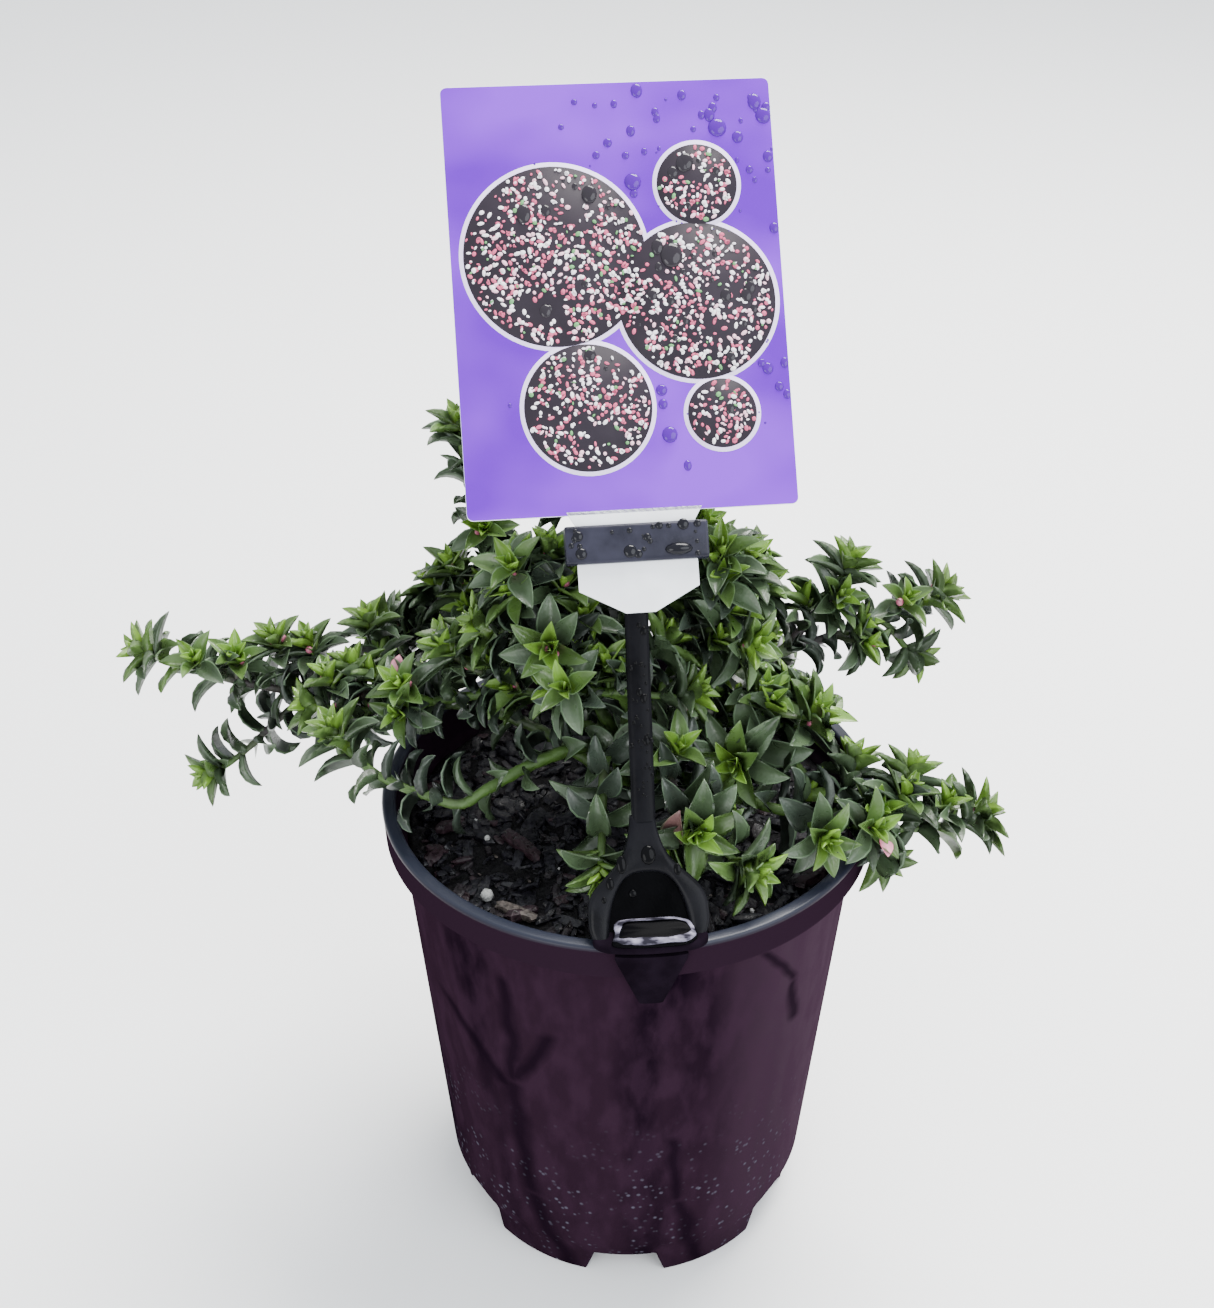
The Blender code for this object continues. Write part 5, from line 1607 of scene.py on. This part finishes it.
def holder_jaw():
    """A bar with rounded edges, carried along its length, that grips the label's tongue."""
    low, high = -JAW_FRONT, -HOLDER_BACK
    share, scale = np.array(JAW_ENDS).T
    xs = JAW_WIDTH / 2 * np.concatenate([-share, share[::-1]]) + LABEL_CENTRE
    middle = np.array([0, (low + high) / 2, JAW_START + JAW_DEPTH / 2])
    path = middle + xs[:, None] * np.array([1, 0, 0])
    section = round_section(40, JAW_DEPTH / 2, (high - low) / 2, 7.0)
    return holder_bar(path, (0, 0, 1.0), section, np.concatenate([scale, scale[::-1]]))


def holder_bar(path, side, section, scale):
    """A section carried along a path: its width lies along the side given, its thickness along Y."""
    sides = np.tile(side, (len(path), 1))
    ups = np.tile([0, 1.0, 0], (len(path), 1))
    return placed(swept(path, sides, ups, section, scale))


def placed(surface):
    """The surface moved from the holder's own axes to where the holder stands."""
    return surface._replace(points=from_holder(surface.points))


def turned_strip(section, half_turn, count):
    """A closed section of (radius, height) pairs turned about the pot's axis, its ends drawn in.

    What lies outside the lip's middle comes in toward it at both ends like a quarter of an ellipse,
    and the skirt rises there to clear the lip.
    """
    share = np.sin(np.linspace(-1, 1, count) * math.pi / 2)
    angle = np.radians(270 + HOLDER_TURN + half_turn * share)
    middle = section.mean(axis=0)
    ease = 1 - 0.45 * np.clip((np.abs(share) - 0.94) / 0.06, 0, 1) ** 2
    rings = middle[None, None] + (section[None] - middle) * ease[:, None, None]
    radius, height = rings[..., 0], rings[..., 1]
    edge = np.clip((np.abs(share) - 1 + CLIP_CORNER) / CLIP_CORNER, 0, 1)
    pull = 0.12 + 0.88 * np.sqrt(1 - edge**2)[:, None]
    lip_middle = POT_RIM_RADIUS - LIP_WIDTH / 2
    skirt = (height < POT_HEIGHT + GAP) & (radius > lip_middle)
    lifted = POT_HEIGHT + GAP + (height - POT_HEIGHT - GAP) * np.clip((pull - 0.9) / 0.1, 0, 1)
    height = np.where(skirt, lifted, height)
    radius = np.where(radius > lip_middle, lip_middle + (radius - lip_middle) * pull, radius)
    return skins(about_axis(radius, angle[:, None], height)[None])


def holder_clip():
    """Saddle over the lip and its inner leg."""
    inner = POT_RIM_RADIUS - LIP_WIDTH - GAP
    outer = POT_RIM_RADIUS + GAP + CLIP_THICKNESS - CLIP_EASE
    inward = outer - CLIP_THICKNESS
    lip_top = POT_HEIGHT + GAP
    top = lip_top + CLIP_THICKNESS
    saddle = [
        (inner - CLIP_THICKNESS, top),
        *arc((inward, top - CLIP_THICKNESS), CLIP_THICKNESS, 90, 0, 6),
        (outer - 0.2, top - CLIP_SKIRT),
        (inward, top - CLIP_SKIRT),
        (inward, lip_top),
        (inner - CLIP_THICKNESS, lip_top),
    ]
    leg_radius = inner_wall_radius(POT_HEIGHT - LIP_DEPTH) - GAP
    foot = top - CLIP_THICKNESS - CLIP_INNER_LEG
    leg = [
        (leg_radius - CLIP_THICKNESS, foot),
        (leg_radius, foot),
        (inner, lip_top),
        (inner, top - CLIP_STEP),
        (inner - CLIP_THICKNESS, top - CLIP_STEP),
    ]
    return [turned_strip(np.array(section), CLIP_HALF_TURN, 33) for section in (saddle, leg)]


def holder_tongue():
    """The pointed outer leg: its half width narrows with the height, bent round the pot's lip."""
    heights = np.linspace(POT_HEIGHT - TONGUE_START, POT_HEIGHT + GAP - CLIP_TONGUE, 28)
    share = np.clip((POT_HEIGHT - TONGUE_SHOULDER - heights) / (CLIP_TONGUE - TONGUE_SHOULDER), 0, 1)
    half = between((TONGUE_HALF_WIDTH, TONGUE_TIP_HALF_WIDTH), share)
    near = POT_RIM_RADIUS + GAP
    section = round_section(24, 1.0, CLIP_THICKNESS / 2 - CLIP_EASE, 4.0)
    angle = np.radians(270 + HOLDER_TURN) + section[:, 0] * (half / near)[:, None]
    radius = near + CLIP_THICKNESS / 2 + section[:, 1]
    return skins(about_axis(radius, angle, heights[:, None])[None])


class WAXFLOWER_OT_holder(bpy.types.Operator):
    """The label holder: rim clip, arch, stem and jaw, one dark moulding"""

    bl_idname = "waxflower.holder"
    bl_label = "Label holder"

    def execute(self, context):
        settings = context.scene.waxflower_label
        groups = ([arch_ring()], [holder_stem()], [holder_jaw()], [*holder_clip(), holder_tongue()])
        parts = [tinted(surface, kind) for kind, group in enumerate(groups) for surface in group]
        finishes = [
            holder_plastic("holder_arch", settings.plastic, 0.08),
            holder_plastic("holder_stem", scaled(settings.plastic, 0.8), 0.045),
            # The jaw's paler bluish colour is a painted reflection of the sky
            holder_plastic("holder_jaw", settings.jaw, 0.14),
            holder_plastic("holder_clip", settings.clip, 0.0),
        ]
        arch = finishes[0]
        sheen = fade(arch, object_axes(arch)["Z"], ARCH_SHEEN_FADE, 0.08, 0.045)
        join(arch, sheen, shader_of(arch).inputs["Specular IOR Level"])
        solid = ["label_holder"]
        new_piece("holder_moulding", gather(parts), finishes, solid, HOLDER_CREASE)
        # Painted shade: the recessed web gets the holder's plastic at a quarter of its colour, for the
        # shade inside the arch
        darkened = holder_plastic("holder_web", scaled(settings.plastic, 0.25), 0.02)
        new_piece("holder_recess", arch_web(), [darkened], crease=40)
        return {"FINISHED"}


def card_point(across_card, up_card, rise):
    """A place on the card's front: across from its middle, up from its foot, and out from its face."""
    across_card, up_card = np.broadcast_arrays(np.asarray(across_card, float), np.asarray(up_card, float))
    depth = np.full(across_card.shape, -LABEL_THICKNESS / 2) - rise
    return from_holder(stacked(across_card + LABEL_CENTRE, depth, up_card + LABEL_START))


CARD_FRONT = -HOLDER[:3, 1]
CARD_UP = HOLDER[:3, 2]


ROUNDELS = (  # across and up the card, and radius
    (-16.0, 67.0, 23.5),
    (20.0, 54.0, 20.5),
    (-10.0, 27.5, 16.5),
    (22.0, 84.5, 10.5),
    (24.5, 24.5, 9.0),
)
INKS = (  # each ink, and the stretch of an even draw that gives it
    ("rose", 0.0, 0.40),
    ("blush", 0.40, 0.60),
    ("white", 0.60, 0.95),
    ("sprig", 0.95, 1.0),
)
DOT_DENSITY = 1.7  # dots for each square millimetre of a roundel's radius squared
HALO_WIDTH = 1.1
DOT_MARGIN = 0.9  # the spiral of dots ends this far inside its roundel
DOT_SIZES = (0.28, 0.75)


def make_card(settings):
    """Two thin plates whose outline is swept from front to back, with slightly eased edges."""
    violet = new_finish("label_violet", settings.ground, 0.4, Specular_IOR_Level=0.05)
    cloud = spots(violet, 22.0, 2.0, stretch=(1.0, 1.6, 1.6))
    # The paler violet patches are a painted gloss highlight
    mottle(violet, cloud, 0.38, 0.66, settings.ground, settings.violet_painted_gloss)
    white = new_finish("label_white", settings.card, 0.4, Specular_IOR_Level=0.3)
    mottle(white, spots(white, 75.0, 3.0), 0.4, 0.6, scaled(settings.card, 0.9), settings.card)
    corner = LABEL_CORNER
    aside, top = LABEL_WIDTH / 2 - corner, LABEL_LENGTH - corner
    centres = ((aside, top), (-aside, top), (-aside, corner), (aside, corner))
    outline = [arc(centre, corner, 90 * i, 90 * i + 90, 5) for i, centre in enumerate(centres)]
    card = card_plate(np.concatenate(outline), [0, 1])
    right = [
        (TONGUE_WIDE / 2, TONGUE_WIDE_ENDS[0]),
        (TONGUE_NARROW / 2, TONGUE_WIDE_ENDS[1]),
        (TONGUE_NARROW / 2, TONGUE_SLANT_START - LABEL_START),
        (TONGUE_END_WIDTH / 2, TONGUE_END - LABEL_START),
    ]
    tongue = card_plate(np.array(right + [(-x, z) for x, z in reversed(right)]), [1, 1])
    both = gather([card, tongue])
    new_piece("label_card_plastic", both, [violet, white], ["label_card"], crease=20)


def card_plate(outline, kinds):
    """The outline four times from front to back, at both faces drawn in by a hair.

    The front gets the first kind of finish, and all the rest the second.
    """
    middle = outline.mean(axis=0)
    layers = []
    for depth, ease in ((1.0, 0.12), (0.7, 0.0), (-0.7, 0.0), (-1.0, 0.12)):
        place = outline - unit(outline - middle) * ease
        rise = (depth - 1.0) * LABEL_THICKNESS / 2
        layers.append(card_point(place[:, 0], place[:, 1], rise))
    surface = tinted(skins(np.array(layers)[None]), kinds[1])
    return surface._replace(tri_kinds=np.repeat(kinds, len(outline)))


def make_print(settings):
    """Dark roundels with a pale line round them, and dots and small sprigs strewn inside."""
    random = np.random.default_rng(SEED + 2)
    halos, panels, seeds = [], [], []
    for number, (x, z, radius) in enumerate(ROUNDELS):
        halos.append(print_disc(x, z, radius + HALO_WIDTH, PRINT_RISE * (1 + 0.3 * number)))
        panels.append(print_disc(x, z, radius, PRINT_RISE * (3 + 0.3 * number)))
        count = int(DOT_DENSITY * radius * radius)
        away = (radius - DOT_MARGIN) * np.sqrt((np.arange(count) + 0.5) / count)
        turn = np.arange(count) * math.radians(GOLDEN_ANGLE) + random.uniform(-0.2, 0.2, count)
        seeds.append(stacked(x + away * np.cos(turn), z + away * np.sin(turn)))
    print_piece("print_halos", gather(halos), settings.halo)
    print_piece("print_panels", gather(panels), settings.panel)
    seeds = np.concatenate(seeds) + random.normal(0, 0.3, (sum(map(len, seeds)), 2))
    patches = ripple(np.pad(seeds, ((0, 0), (0, 1))), 16.0, random)
    seeds = seeds[patches + random.normal(0, 0.35, len(seeds)) > -0.55]
    draw = random.uniform(size=len(seeds))
    size = random.uniform(*DOT_SIZES, len(seeds))
    for number, (name, low, high) in enumerate(INKS):
        mine = (draw >= low) & (draw < high)
        stretch = random.uniform(1.0, 2.2, mine.sum())
        turn = random.uniform(0, math.tau, mine.sum())
        shape = print_dots(seeds[mine], size[mine] / np.sqrt(stretch), stretch, turn, 6 + number)
        print_piece(f"print_{name}", shape, getattr(settings, name))


def print_disc(x, z, radius, rise):
    """A low round plate of ink on the card."""
    profile = np.array([(radius, 0.0), (radius - 0.05, rise)])
    return turned_many(card_point([x], [z], 0.0), CARD_FRONT, CARD_UP, profile, corners=72)


def print_dots(seeds, size, stretch, turn, layer):
    """Small plates of ink, each stretched along its own turn. Their height goes by the layer."""
    places = card_point(seeds[:, 0], seeds[:, 1], 0.0)
    ups = HOLDER[:3, 0] * np.cos(turn)[:, None] + CARD_UP * np.sin(turn)[:, None]
    profile = np.array([(1.0, 0.0), (0.9, layer * PRINT_RISE)])
    profile = profile * stacked(size, 1.0)[:, None]
    return turned_many(places, CARD_FRONT, ups, profile, stretch, 8)


def print_piece(name, surface, colour):
    ink = new_finish(name, colour, 0.4, Specular_IOR_Level=0.06)
    mottle(ink, spots(ink, 140.0, 2.0), 0.3, 0.7, scaled(colour, 0.85), colour)
    new_piece(name, surface, [ink])


class WAXFLOWER_OT_label(bpy.types.Operator):
    """The label: a violet card with printed roundels of dots and sprigs, on a white tongue"""

    bl_idname = "waxflower.label"
    bl_label = "Label"

    def execute(self, context):
        settings = context.scene.waxflower_label
        make_card(settings)
        make_print(settings)
        return {"FINISHED"}


TRUNK_RINGS = 40
TRUNK_CORNERS = 28
TRUNK_DEPTH = 1.0  # how far the trunk goes down below the middle of the mix's top
TRUNK_RIDGES = 2.2  # wavelength of the ridges in its bark
TRUNK_GRAIN = 1.6  # and of the bark's grain


def trunk_skin(random):
    """Rings whose middle leans with the square of the height, and whose radius has two ripples."""
    foot = MIX_TOP - TRUNK_DEPTH
    share = np.linspace(0, 1, TRUNK_RINGS)
    radii = np.interp(share, *np.array(TRUNK_TAPER).T)
    lean = share[:, None] ** 2 * np.array(TRUNK_LEAN)
    place = np.concatenate([lean, (foot + (TRUNK_FORK - foot) * share)[:, None]], axis=1)
    circle = about_axis(1.0, around(TRUNK_CORNERS), 0.0)
    rings = place[:, None] + circle * radii[:, None, None]
    ridges = 0.07 * ripple(rings * np.array([1, 1, 0.25]), TRUNK_RIDGES, random)
    bark = 1 + ridges + 0.05 * ripple(rings, TRUNK_GRAIN, random)
    rings = place[:, None] + circle * (radii[:, None] * bark)[..., None]
    return skins(rings[None], last=place[-1:] + radii[-1] * UP)


class WAXFLOWER_OT_limbs(bpy.types.Operator):
    """Trunk and boughs with the relief of their bark"""

    bl_idname = "waxflower.limbs"
    bl_label = "Trunk and boughs"

    def execute(self, context):
        settings = context.scene.waxflower_plant
        random = np.random.default_rng(SEED + 3)
        old = bark_finish("bark_old", settings.old_bark, scaled(settings.old_bark, 0.4), 160.0)
        new_piece("trunk_bark", trunk_skin(random), [old], ["trunk"])
        green = bark_finish("bark_green", settings.green_bark, scaled(settings.green_bark, 0.30), 90.0)
        boughs = [tube(shoot, 12, 0.13, random) for shoot in grow() if shoot.kind == "bough"]
        new_piece("bough_bark", gather(boughs), [green], [row.name for row in BOUGHS])
        return {"FINISHED"}


# Radius and height up a bud's own axis
BUD_STALK = ((0.35, 0.0), (0.33, 2.4), (0.5, 3.5), (0.2, 3.7))
BUD_PROFILE = ((0.45, 3.2), (0.95, 3.7), (1.12, 4.4), (0.95, 5.1), (0.5, 5.6))
BUD_REACH = 5.0
BUD_ROOM = 1.2  # a bud is left out where its tip would come this near to another piece
PETAL = {"length": 5.2, "width": 4.6, "curl": 0.5, "fold": 0.35, "radius": 0.0}
PALE_PINK = (0.62, 0.25, 0.33)


def make_leaves(settings, leaves, nudge, shrink):
    """One piece for each age, with a pale margin. The young leaves have a lime foot as well."""
    rings, tips, _ = leaf_rings(leaves, nudge, shrink)
    kinds = np.array([1, 0, 0, 0, 0, 1, 0, 0])
    low_rows = np.arange(len(LEAF_ROWS) - 1)[:, None] < 2
    young_kinds = np.where(low_rows & (kinds == 0), 2, kinds)
    for age, name in enumerate(LEAF_AGES):
        mine = leaves.age == age
        if not mine.any():
            continue
        colour = getattr(settings, f"{name}_leaf")
        skin = leaf_finish(f"leaf_{name}", colour, 0.36)
        margin = tuple(0.6 * a + 0.7 * b for a, b in zip(settings.leaf_margin, colour))
        edge = leaf_finish(f"leaf_{name}_margin", margin, 0.45)
        foot = leaf_finish(f"leaf_{name}_foot", scaled(settings.lime_leaf, 0.55), 0.42)
        own_kinds = young_kinds if name == "young" else kinds
        surface = skins(rings[mine], last=tips[mine], kinds=own_kinds)
        new_piece(f"leaves_{name}", surface, [skin, edge, foot])


def make_buds(settings, leaves, nudge, random):
    """Pink buds on short stalks in the axils of the younger leaves."""
    fit = np.flatnonzero((leaves.age == 1) | (leaves.age == 2))
    chosen = random.choice(fit, settings.bud_count, replace=False)
    foot, direction, upper = (column[chosen] for column in leaf_frames(leaves, nudge))
    axis = unit(direction * 0.8 + upper * 0.9)
    clear = ~blocked(foot + axis * BUD_REACH, BUD_ROOM)
    place, axis, upper = foot[clear], axis[clear], upper[clear]
    size = random.uniform(0.65, 1.05, len(place))[:, None, None]
    green = leaf_finish("bud_stalk", settings.young_leaf, 0.45)
    pink = new_finish("bud_pink", settings.bud_pink, 0.35)
    mottle(pink, spots(pink, 500.0, 2.0), 0.35, 0.65, scaled(settings.bud_pink, 0.7), settings.bud_pink)
    stalks = turned_many(place, axis, upper, np.array(BUD_STALK) * size, corners=7)
    buds = turned_many(place, axis, upper, np.array(BUD_PROFILE) * size, corners=8)
    new_piece("bud_stalks", stalks, [green])
    new_piece("buds", buds, [pink])


def make_petals(settings, leaves, nudge, shrink):
    """Petals caught among the leaves: small pink leaf shapes on the leaves next to each place."""
    feet = leaf_rings(leaves, nudge, shrink)[0][:, 3, 3]
    chosen = [np.linalg.norm(feet - np.array(place), axis=1).argmin() for place in PETAL_PLACES]
    count = len(chosen)
    petals = Leaves(*(column[chosen] for column in leaves))
    petals = petals._replace(
        foot=feet[chosen] + 0.6 * UP,
        **{key: np.full(count, value) for key, value in PETAL.items()},
    )
    rings, tips, _ = leaf_rings(petals, np.full(count, 35.0), np.ones(count))
    pink = new_finish("petal_pink", settings.bud_pink, 0.5)
    mottle(pink, spots(pink, 400.0, 2.0), 0.35, 0.65, settings.bud_pink, PALE_PINK)
    new_piece("petals", skins(rings, last=tips), [pink])


def make_leaf_drops(leaves, nudge, shrink, random, colour):
    """Small drops of water on the upper side of some leaves."""
    rings, _, face = leaf_rings(leaves, nudge, shrink)
    chosen = random.choice(len(rings), LEAF_DROPS, replace=False)
    row = random.integers(1, 5, LEAF_DROPS)
    column = random.integers(2, 5, LEAF_DROPS)
    size = random.uniform(0.15, 0.42, LEAF_DROPS)
    places, normals = rings[chosen, row, column], face[chosen, row]
    drops = drops_on(places, normals, (0, 0.1, 1.0), size, 1.0, ROUND_DROP)
    new_piece("drops_on_leaves", drops, [wet_finish("wet_leaf", colour, 0.6)])


class WAXFLOWER_OT_foliage(bpy.types.Operator):
    """Stems, twigs, leaves, buds and petals that grow on from the boughs"""

    bl_idname = "waxflower.foliage"
    bl_label = "Foliage"

    def execute(self, context):
        settings = context.scene.waxflower_plant
        random = np.random.default_rng(SEED + 4)
        bark = np.random.default_rng(SEED + 7)
        shoots = grow()
        green = bark_finish("bark_shoot", settings.green_bark, settings.old_bark, 45.0)
        limbs = [tube(shoot, 10, 0.12, bark) for shoot in shoots if shoot.kind in ("stem", "twig")]
        new_piece("stem_bark", gather(limbs), [green], [row.name for row in MASSES])
        spurs = [tube(shoot, 7, 0.06, bark) for shoot in shoots if shoot.kind == "spur"]
        new_piece("spur_bark", gather(spurs), [green])
        columns = [leaves_of(shoot, random) for shoot in shoots]
        leaves = Leaves(*(np.concatenate(column) for column in zip(*columns)))
        leaves, nudge, shrink = settle(leaves)
        tips = leaf_rings(leaves, nudge, shrink)[1]
        for place in TINGED_TIPS:
            leaves.age[np.linalg.norm(tips - np.array(place), axis=1).argmin()] = LEAF_AGES.index("tinged")
        make_leaves(settings, leaves, nudge, shrink)
        make_buds(settings, leaves, nudge, random)
        make_petals(settings, leaves, nudge, shrink)
        make_leaf_drops(leaves, nudge, shrink, random, scaled(settings.full_leaf, 0.8))
        return {"FINISHED"}


GLARE = (0.20, 0.19, 0.25)
DIM_GLARE = (0.016, 0.015, 0.021)
BRIGHT_GLARE = (0.26, 0.245, 0.32)

JAW_LARGE_DROPS = ((-14.5, 1.5, 1.0), (-2.0, 1.7, 1.0), (10.5, 3.6, 0.45))  # across, size, stretch
JAW_DROP_HEIGHT = 2.6

# For each ring of the pool and of its bright edge: the share that it is drawn in, and its height
POOL_STEPS = ((0.0, -0.2), (-0.02, 0.4), (0.03, 1.0), (0.14, 1.5), (0.30, 1.75), (0.6, 1.8))
POOL_EDGE_STEPS = (
    *((0.02, 1.0), (0.05, 1.32), (0.16, 1.66), (0.27, 1.84), (0.36, 1.9)),
    *((0.33, 1.78), (0.2, 1.5)),
)


def make_card_drops(label, random):
    """Drops all over the card, thickest near its top, and kept small on the roundels' edges."""
    count = label.drop_count
    x = LABEL_WIDTH / 2 * (1 - 1.9 * random.beta(1.1, 2.2, count))
    z = LABEL_LENGTH * (1 - 0.96 * random.beta(1.0, 1.8, count) - 0.02)
    size = np.clip(random.lognormal(0.0, 0.5, count), 0.4, 3.0)
    x = np.clip(x, -LABEL_WIDTH / 2 + size, LABEL_WIDTH / 2 - size)
    z = np.clip(z, 1.3 * size, LABEL_LENGTH - 1.3 * size)
    stretch = random.uniform(1.0, 1.35, count)
    places = card_point(x, z, 0.0)
    printed = np.zeros(count, bool)
    for centre_x, centre_z, radius in ROUNDELS:
        near = np.hypot(x - centre_x, z - centre_z)
        printed |= near < radius - size
        size = np.where(np.abs(near - radius) < size + 1.2, 0.3, size)
    for name, mine, colour in (("violet", ~printed, label.ground), ("print", printed, label.panel)):
        drops = drops_on(places[mine], CARD_FRONT, CARD_UP, size[mine], stretch[mine], FLAT_DROP)
        finish = wet_finish(f"wet_{name}", scaled(colour, 0.62), 0.25)
        new_piece(f"drops_on_{name}", drops, [finish])


def front_drops(x, y, z, size, stretch):
    """Drops on faces of the holder that look the way the label looks."""
    places = from_holder(stacked(x, y, z))
    return drops_on(places, CARD_FRONT, CARD_UP, size, stretch, FLAT_DROP)


def jaw_drops(random):
    """Drops on the jaw: three large ones in a row, and small ones."""
    x = LABEL_CENTRE + random.uniform(-0.47, 0.47, JAW_DROPS) * JAW_WIDTH
    z = JAW_START + random.uniform(0.08, 0.9, JAW_DROPS) * JAW_DEPTH
    size = np.clip(random.lognormal(-0.4, 0.45, JAW_DROPS), 0.3, 1.5)
    stretch = np.ones(JAW_DROPS)
    aside, large, long = np.array(JAW_LARGE_DROPS).T
    count = len(aside)
    x[:count] = LABEL_CENTRE + aside
    z[:count] = JAW_START + JAW_DROP_HEIGHT
    size[:count] = large
    stretch[:count] = long
    return front_drops(x, -JAW_FRONT, z, size, stretch)


def stem_drops(random):
    """Small drops strewn over the stem's front."""
    z = random.uniform(STEM_START + 4, JAW_START - 14, STEM_DROPS)
    x = stem_centre(z) + random.uniform(-0.42, 0.42, STEM_DROPS) * STEM_WIDTH
    size = np.clip(random.lognormal(-1.0, 0.5, STEM_DROPS), 0.15, 0.9)
    stretch = random.uniform(1.0, 1.5, STEM_DROPS)
    return front_drops(x, -(HOLDER_BACK + STEM_THICKNESS), z, size, stretch)


def arch_drops():
    """A few drops: on the web, on the band's left shoulder and at the stem's foot."""
    web = -HOLDER_BACK - WEB_INSET - ARCH_WEB
    band = -(HOLDER_BACK + ARCH_THICKNESS)
    x, y, z, size, stretch = np.array([
        (-3.6, web, 11.0, 1.1, 1.0),
        (-9.4, band, 14.0, 1.0, 1.6),
        (-11.2, band, 10.0, 0.6, 1.4),
        (0.8, band, 20.6, 1.9, 1.3),
        (-6.2, band, 18.6, 1.3, 1.8),
        (8.0, band, 16.5, 1.0, 1.5),
    ]).T
    return front_drops(x, y, z, size, stretch)


def pool_ring(inset, height):
    """The pool's outline drawn in by a share, at a height above the saddle.

    The outline is a rounded box in turn round the rim and in radius: half its size times cosine and
    sine to the power of the roundness, with slow waves. It goes from the saddle's front edge to the web.
    """
    angle = around(64)
    wave = 1 + 0.035 * np.sin(3 * angle + 0.7) + 0.025 * np.sin(5 * angle + 2.0)
    round_it = powered(np.cos(angle), POOL_ROUNDNESS)
    out = powered(np.sin(angle), POOL_ROUNDNESS)
    turn = HOLDER_TURN + POOL_TURN + POOL_HALF_TURN * round_it * wave * (1 - inset * 0.45)
    radius = POOL_RADIUS + POOL_HALF_DEPTH * out * wave * (1 - inset)
    z = POT_HEIGHT + GAP + CLIP_THICKNESS + height * (1 + 0.5 * np.maximum(-out, 0))
    return about_axis(radius, np.radians(270 + turn), z)


def pool_skin():
    """A puddle held by its skin between the feet of the arch: steep edges and a flat middle."""
    return skins(np.array([pool_ring(*step) for step in POOL_STEPS])[None])


def pool_glare():
    """The bright sky that the puddle's edge mirrors: a thin uneven band over the edge."""
    random = np.random.default_rng(SEED + 6)
    rings = np.array([pool_ring(*step) for step in POOL_EDGE_STEPS])
    middle = rings.mean(axis=0)
    back = np.clip((67.5 - np.hypot(middle[:, 0], middle[:, 1])) / 3.0, 0, 1)
    width = 0.75 + 0.9 * back + 0.5 * ripple(middle, 7.0, random) + 0.35 * ripple(middle, 2.2, random)
    band = middle + (rings - middle) * np.clip(width, 0.06, 1.8)[None, :, None]
    return closed_band(band.transpose(1, 0, 2))


def closed_band(rings):
    """A band that runs round and meets itself: rings joined the long way and round each section."""
    count, corners, _ = rings.shape
    i = np.arange(count)[:, None]
    j = np.arange(corners)[None]
    beside = (j + 1) % corners
    here, ahead = i * corners, (i + 1) % count * corners
    quads = stacked(here + j, here + beside, ahead + beside, ahead + j).reshape(-1, 4)
    points = rings.reshape(-1, 3)
    if signed_volumes(points[None], quads, np.zeros((0, 3), int))[0] < 0:
        quads = quads[:, ::-1]
    none = np.zeros(0, int)
    return Surface(points, quads, np.zeros((0, 3), int), np.zeros(len(quads), int), none)


class WAXFLOWER_OT_water(bpy.types.Operator):
    """Rain drops on the label and its holder, and the pool on the rim clip"""

    bl_idname = "waxflower.water"
    bl_label = "Water"

    def execute(self, context):
        label = context.scene.waxflower_label
        random = np.random.default_rng(SEED + 5)
        make_card_drops(label, random)
        dark = wet_finish("wet_holder", scaled(label.plastic, 0.4), 0.07)
        navy = wet_finish("wet_jaw", scaled(label.jaw, 0.3), 0.2)
        holder = gather([tinted(jaw_drops(random), 1), stem_drops(random), arch_drops()])
        new_piece("drops_on_holder", holder, [dark, navy])
        pool = new_finish("wet_clip", scaled(label.plastic, 0.5), 0.3, Specular_IOR_Level=0.012)
        new_piece("pool_on_clip", pool_skin(), [pool])
        glare = new_finish("pool_glare", GLARE, 0.4, Specular_IOR_Level=0.0)
        streaks = spots(glare, 420.0, 5.0, stretch=(0.45, 1.0, 1.0))
        mottle(glare, streaks, 0.40, 0.64, DIM_GLARE, BRIGHT_GLARE)
        new_piece("pool_edge", pool_glare(), [glare])
        return {"FINISHED"}


class WAXFLOWER_PT_panel(bpy.types.Panel):
    """The pieces of the waxflower and their settings"""

    bl_idname = "WAXFLOWER_PT_panel"
    bl_label = "Waxflower"
    bl_space_type = "VIEW_3D"
    bl_region_type = "UI"
    bl_category = "Waxflower"

    def draw(self, context):
        layout = self.layout
        for step in STEPS:
            layout.operator(step.bl_idname)
        for key in GROUPS:
            settings = getattr(context.scene, key)
            box = layout.box()
            box.label(text=key.replace("_", " "))
            for name in settings.__annotations__:
                box.prop(settings, name)


GROUPS = {
    "waxflower_plant": WaxflowerPlant,
    "waxflower_pot": WaxflowerPot,
    "waxflower_label": WaxflowerLabel,
    "waxflower_stage": WaxflowerStage,
}
STEPS = (
    WAXFLOWER_OT_stage,
    WAXFLOWER_OT_pot,
    WAXFLOWER_OT_mix,
    WAXFLOWER_OT_holder,
    WAXFLOWER_OT_label,
    WAXFLOWER_OT_limbs,
    WAXFLOWER_OT_foliage,
    WAXFLOWER_OT_water,
)


def register():
    for key, group in GROUPS.items():
        bpy.utils.register_class(group)
        setattr(bpy.types.Scene, key, PointerProperty(type=group))
    for step in (*STEPS, WAXFLOWER_PT_panel):
        bpy.utils.register_class(step)


def unregister():
    for step in reversed((*STEPS, WAXFLOWER_PT_panel)):
        bpy.utils.unregister_class(step)
    for key, group in GROUPS.items():
        delattr(bpy.types.Scene, key)
        bpy.utils.unregister_class(group)


def main():
    register()
    bpy.ops.waxflower.stage()
    bpy.ops.waxflower.pot()
    bpy.ops.waxflower.mix()
    bpy.ops.waxflower.holder()
    bpy.ops.waxflower.label()
    bpy.ops.waxflower.limbs()
    bpy.ops.waxflower.foliage()
    bpy.ops.waxflower.water()


if __name__ == "__main__":
    main()
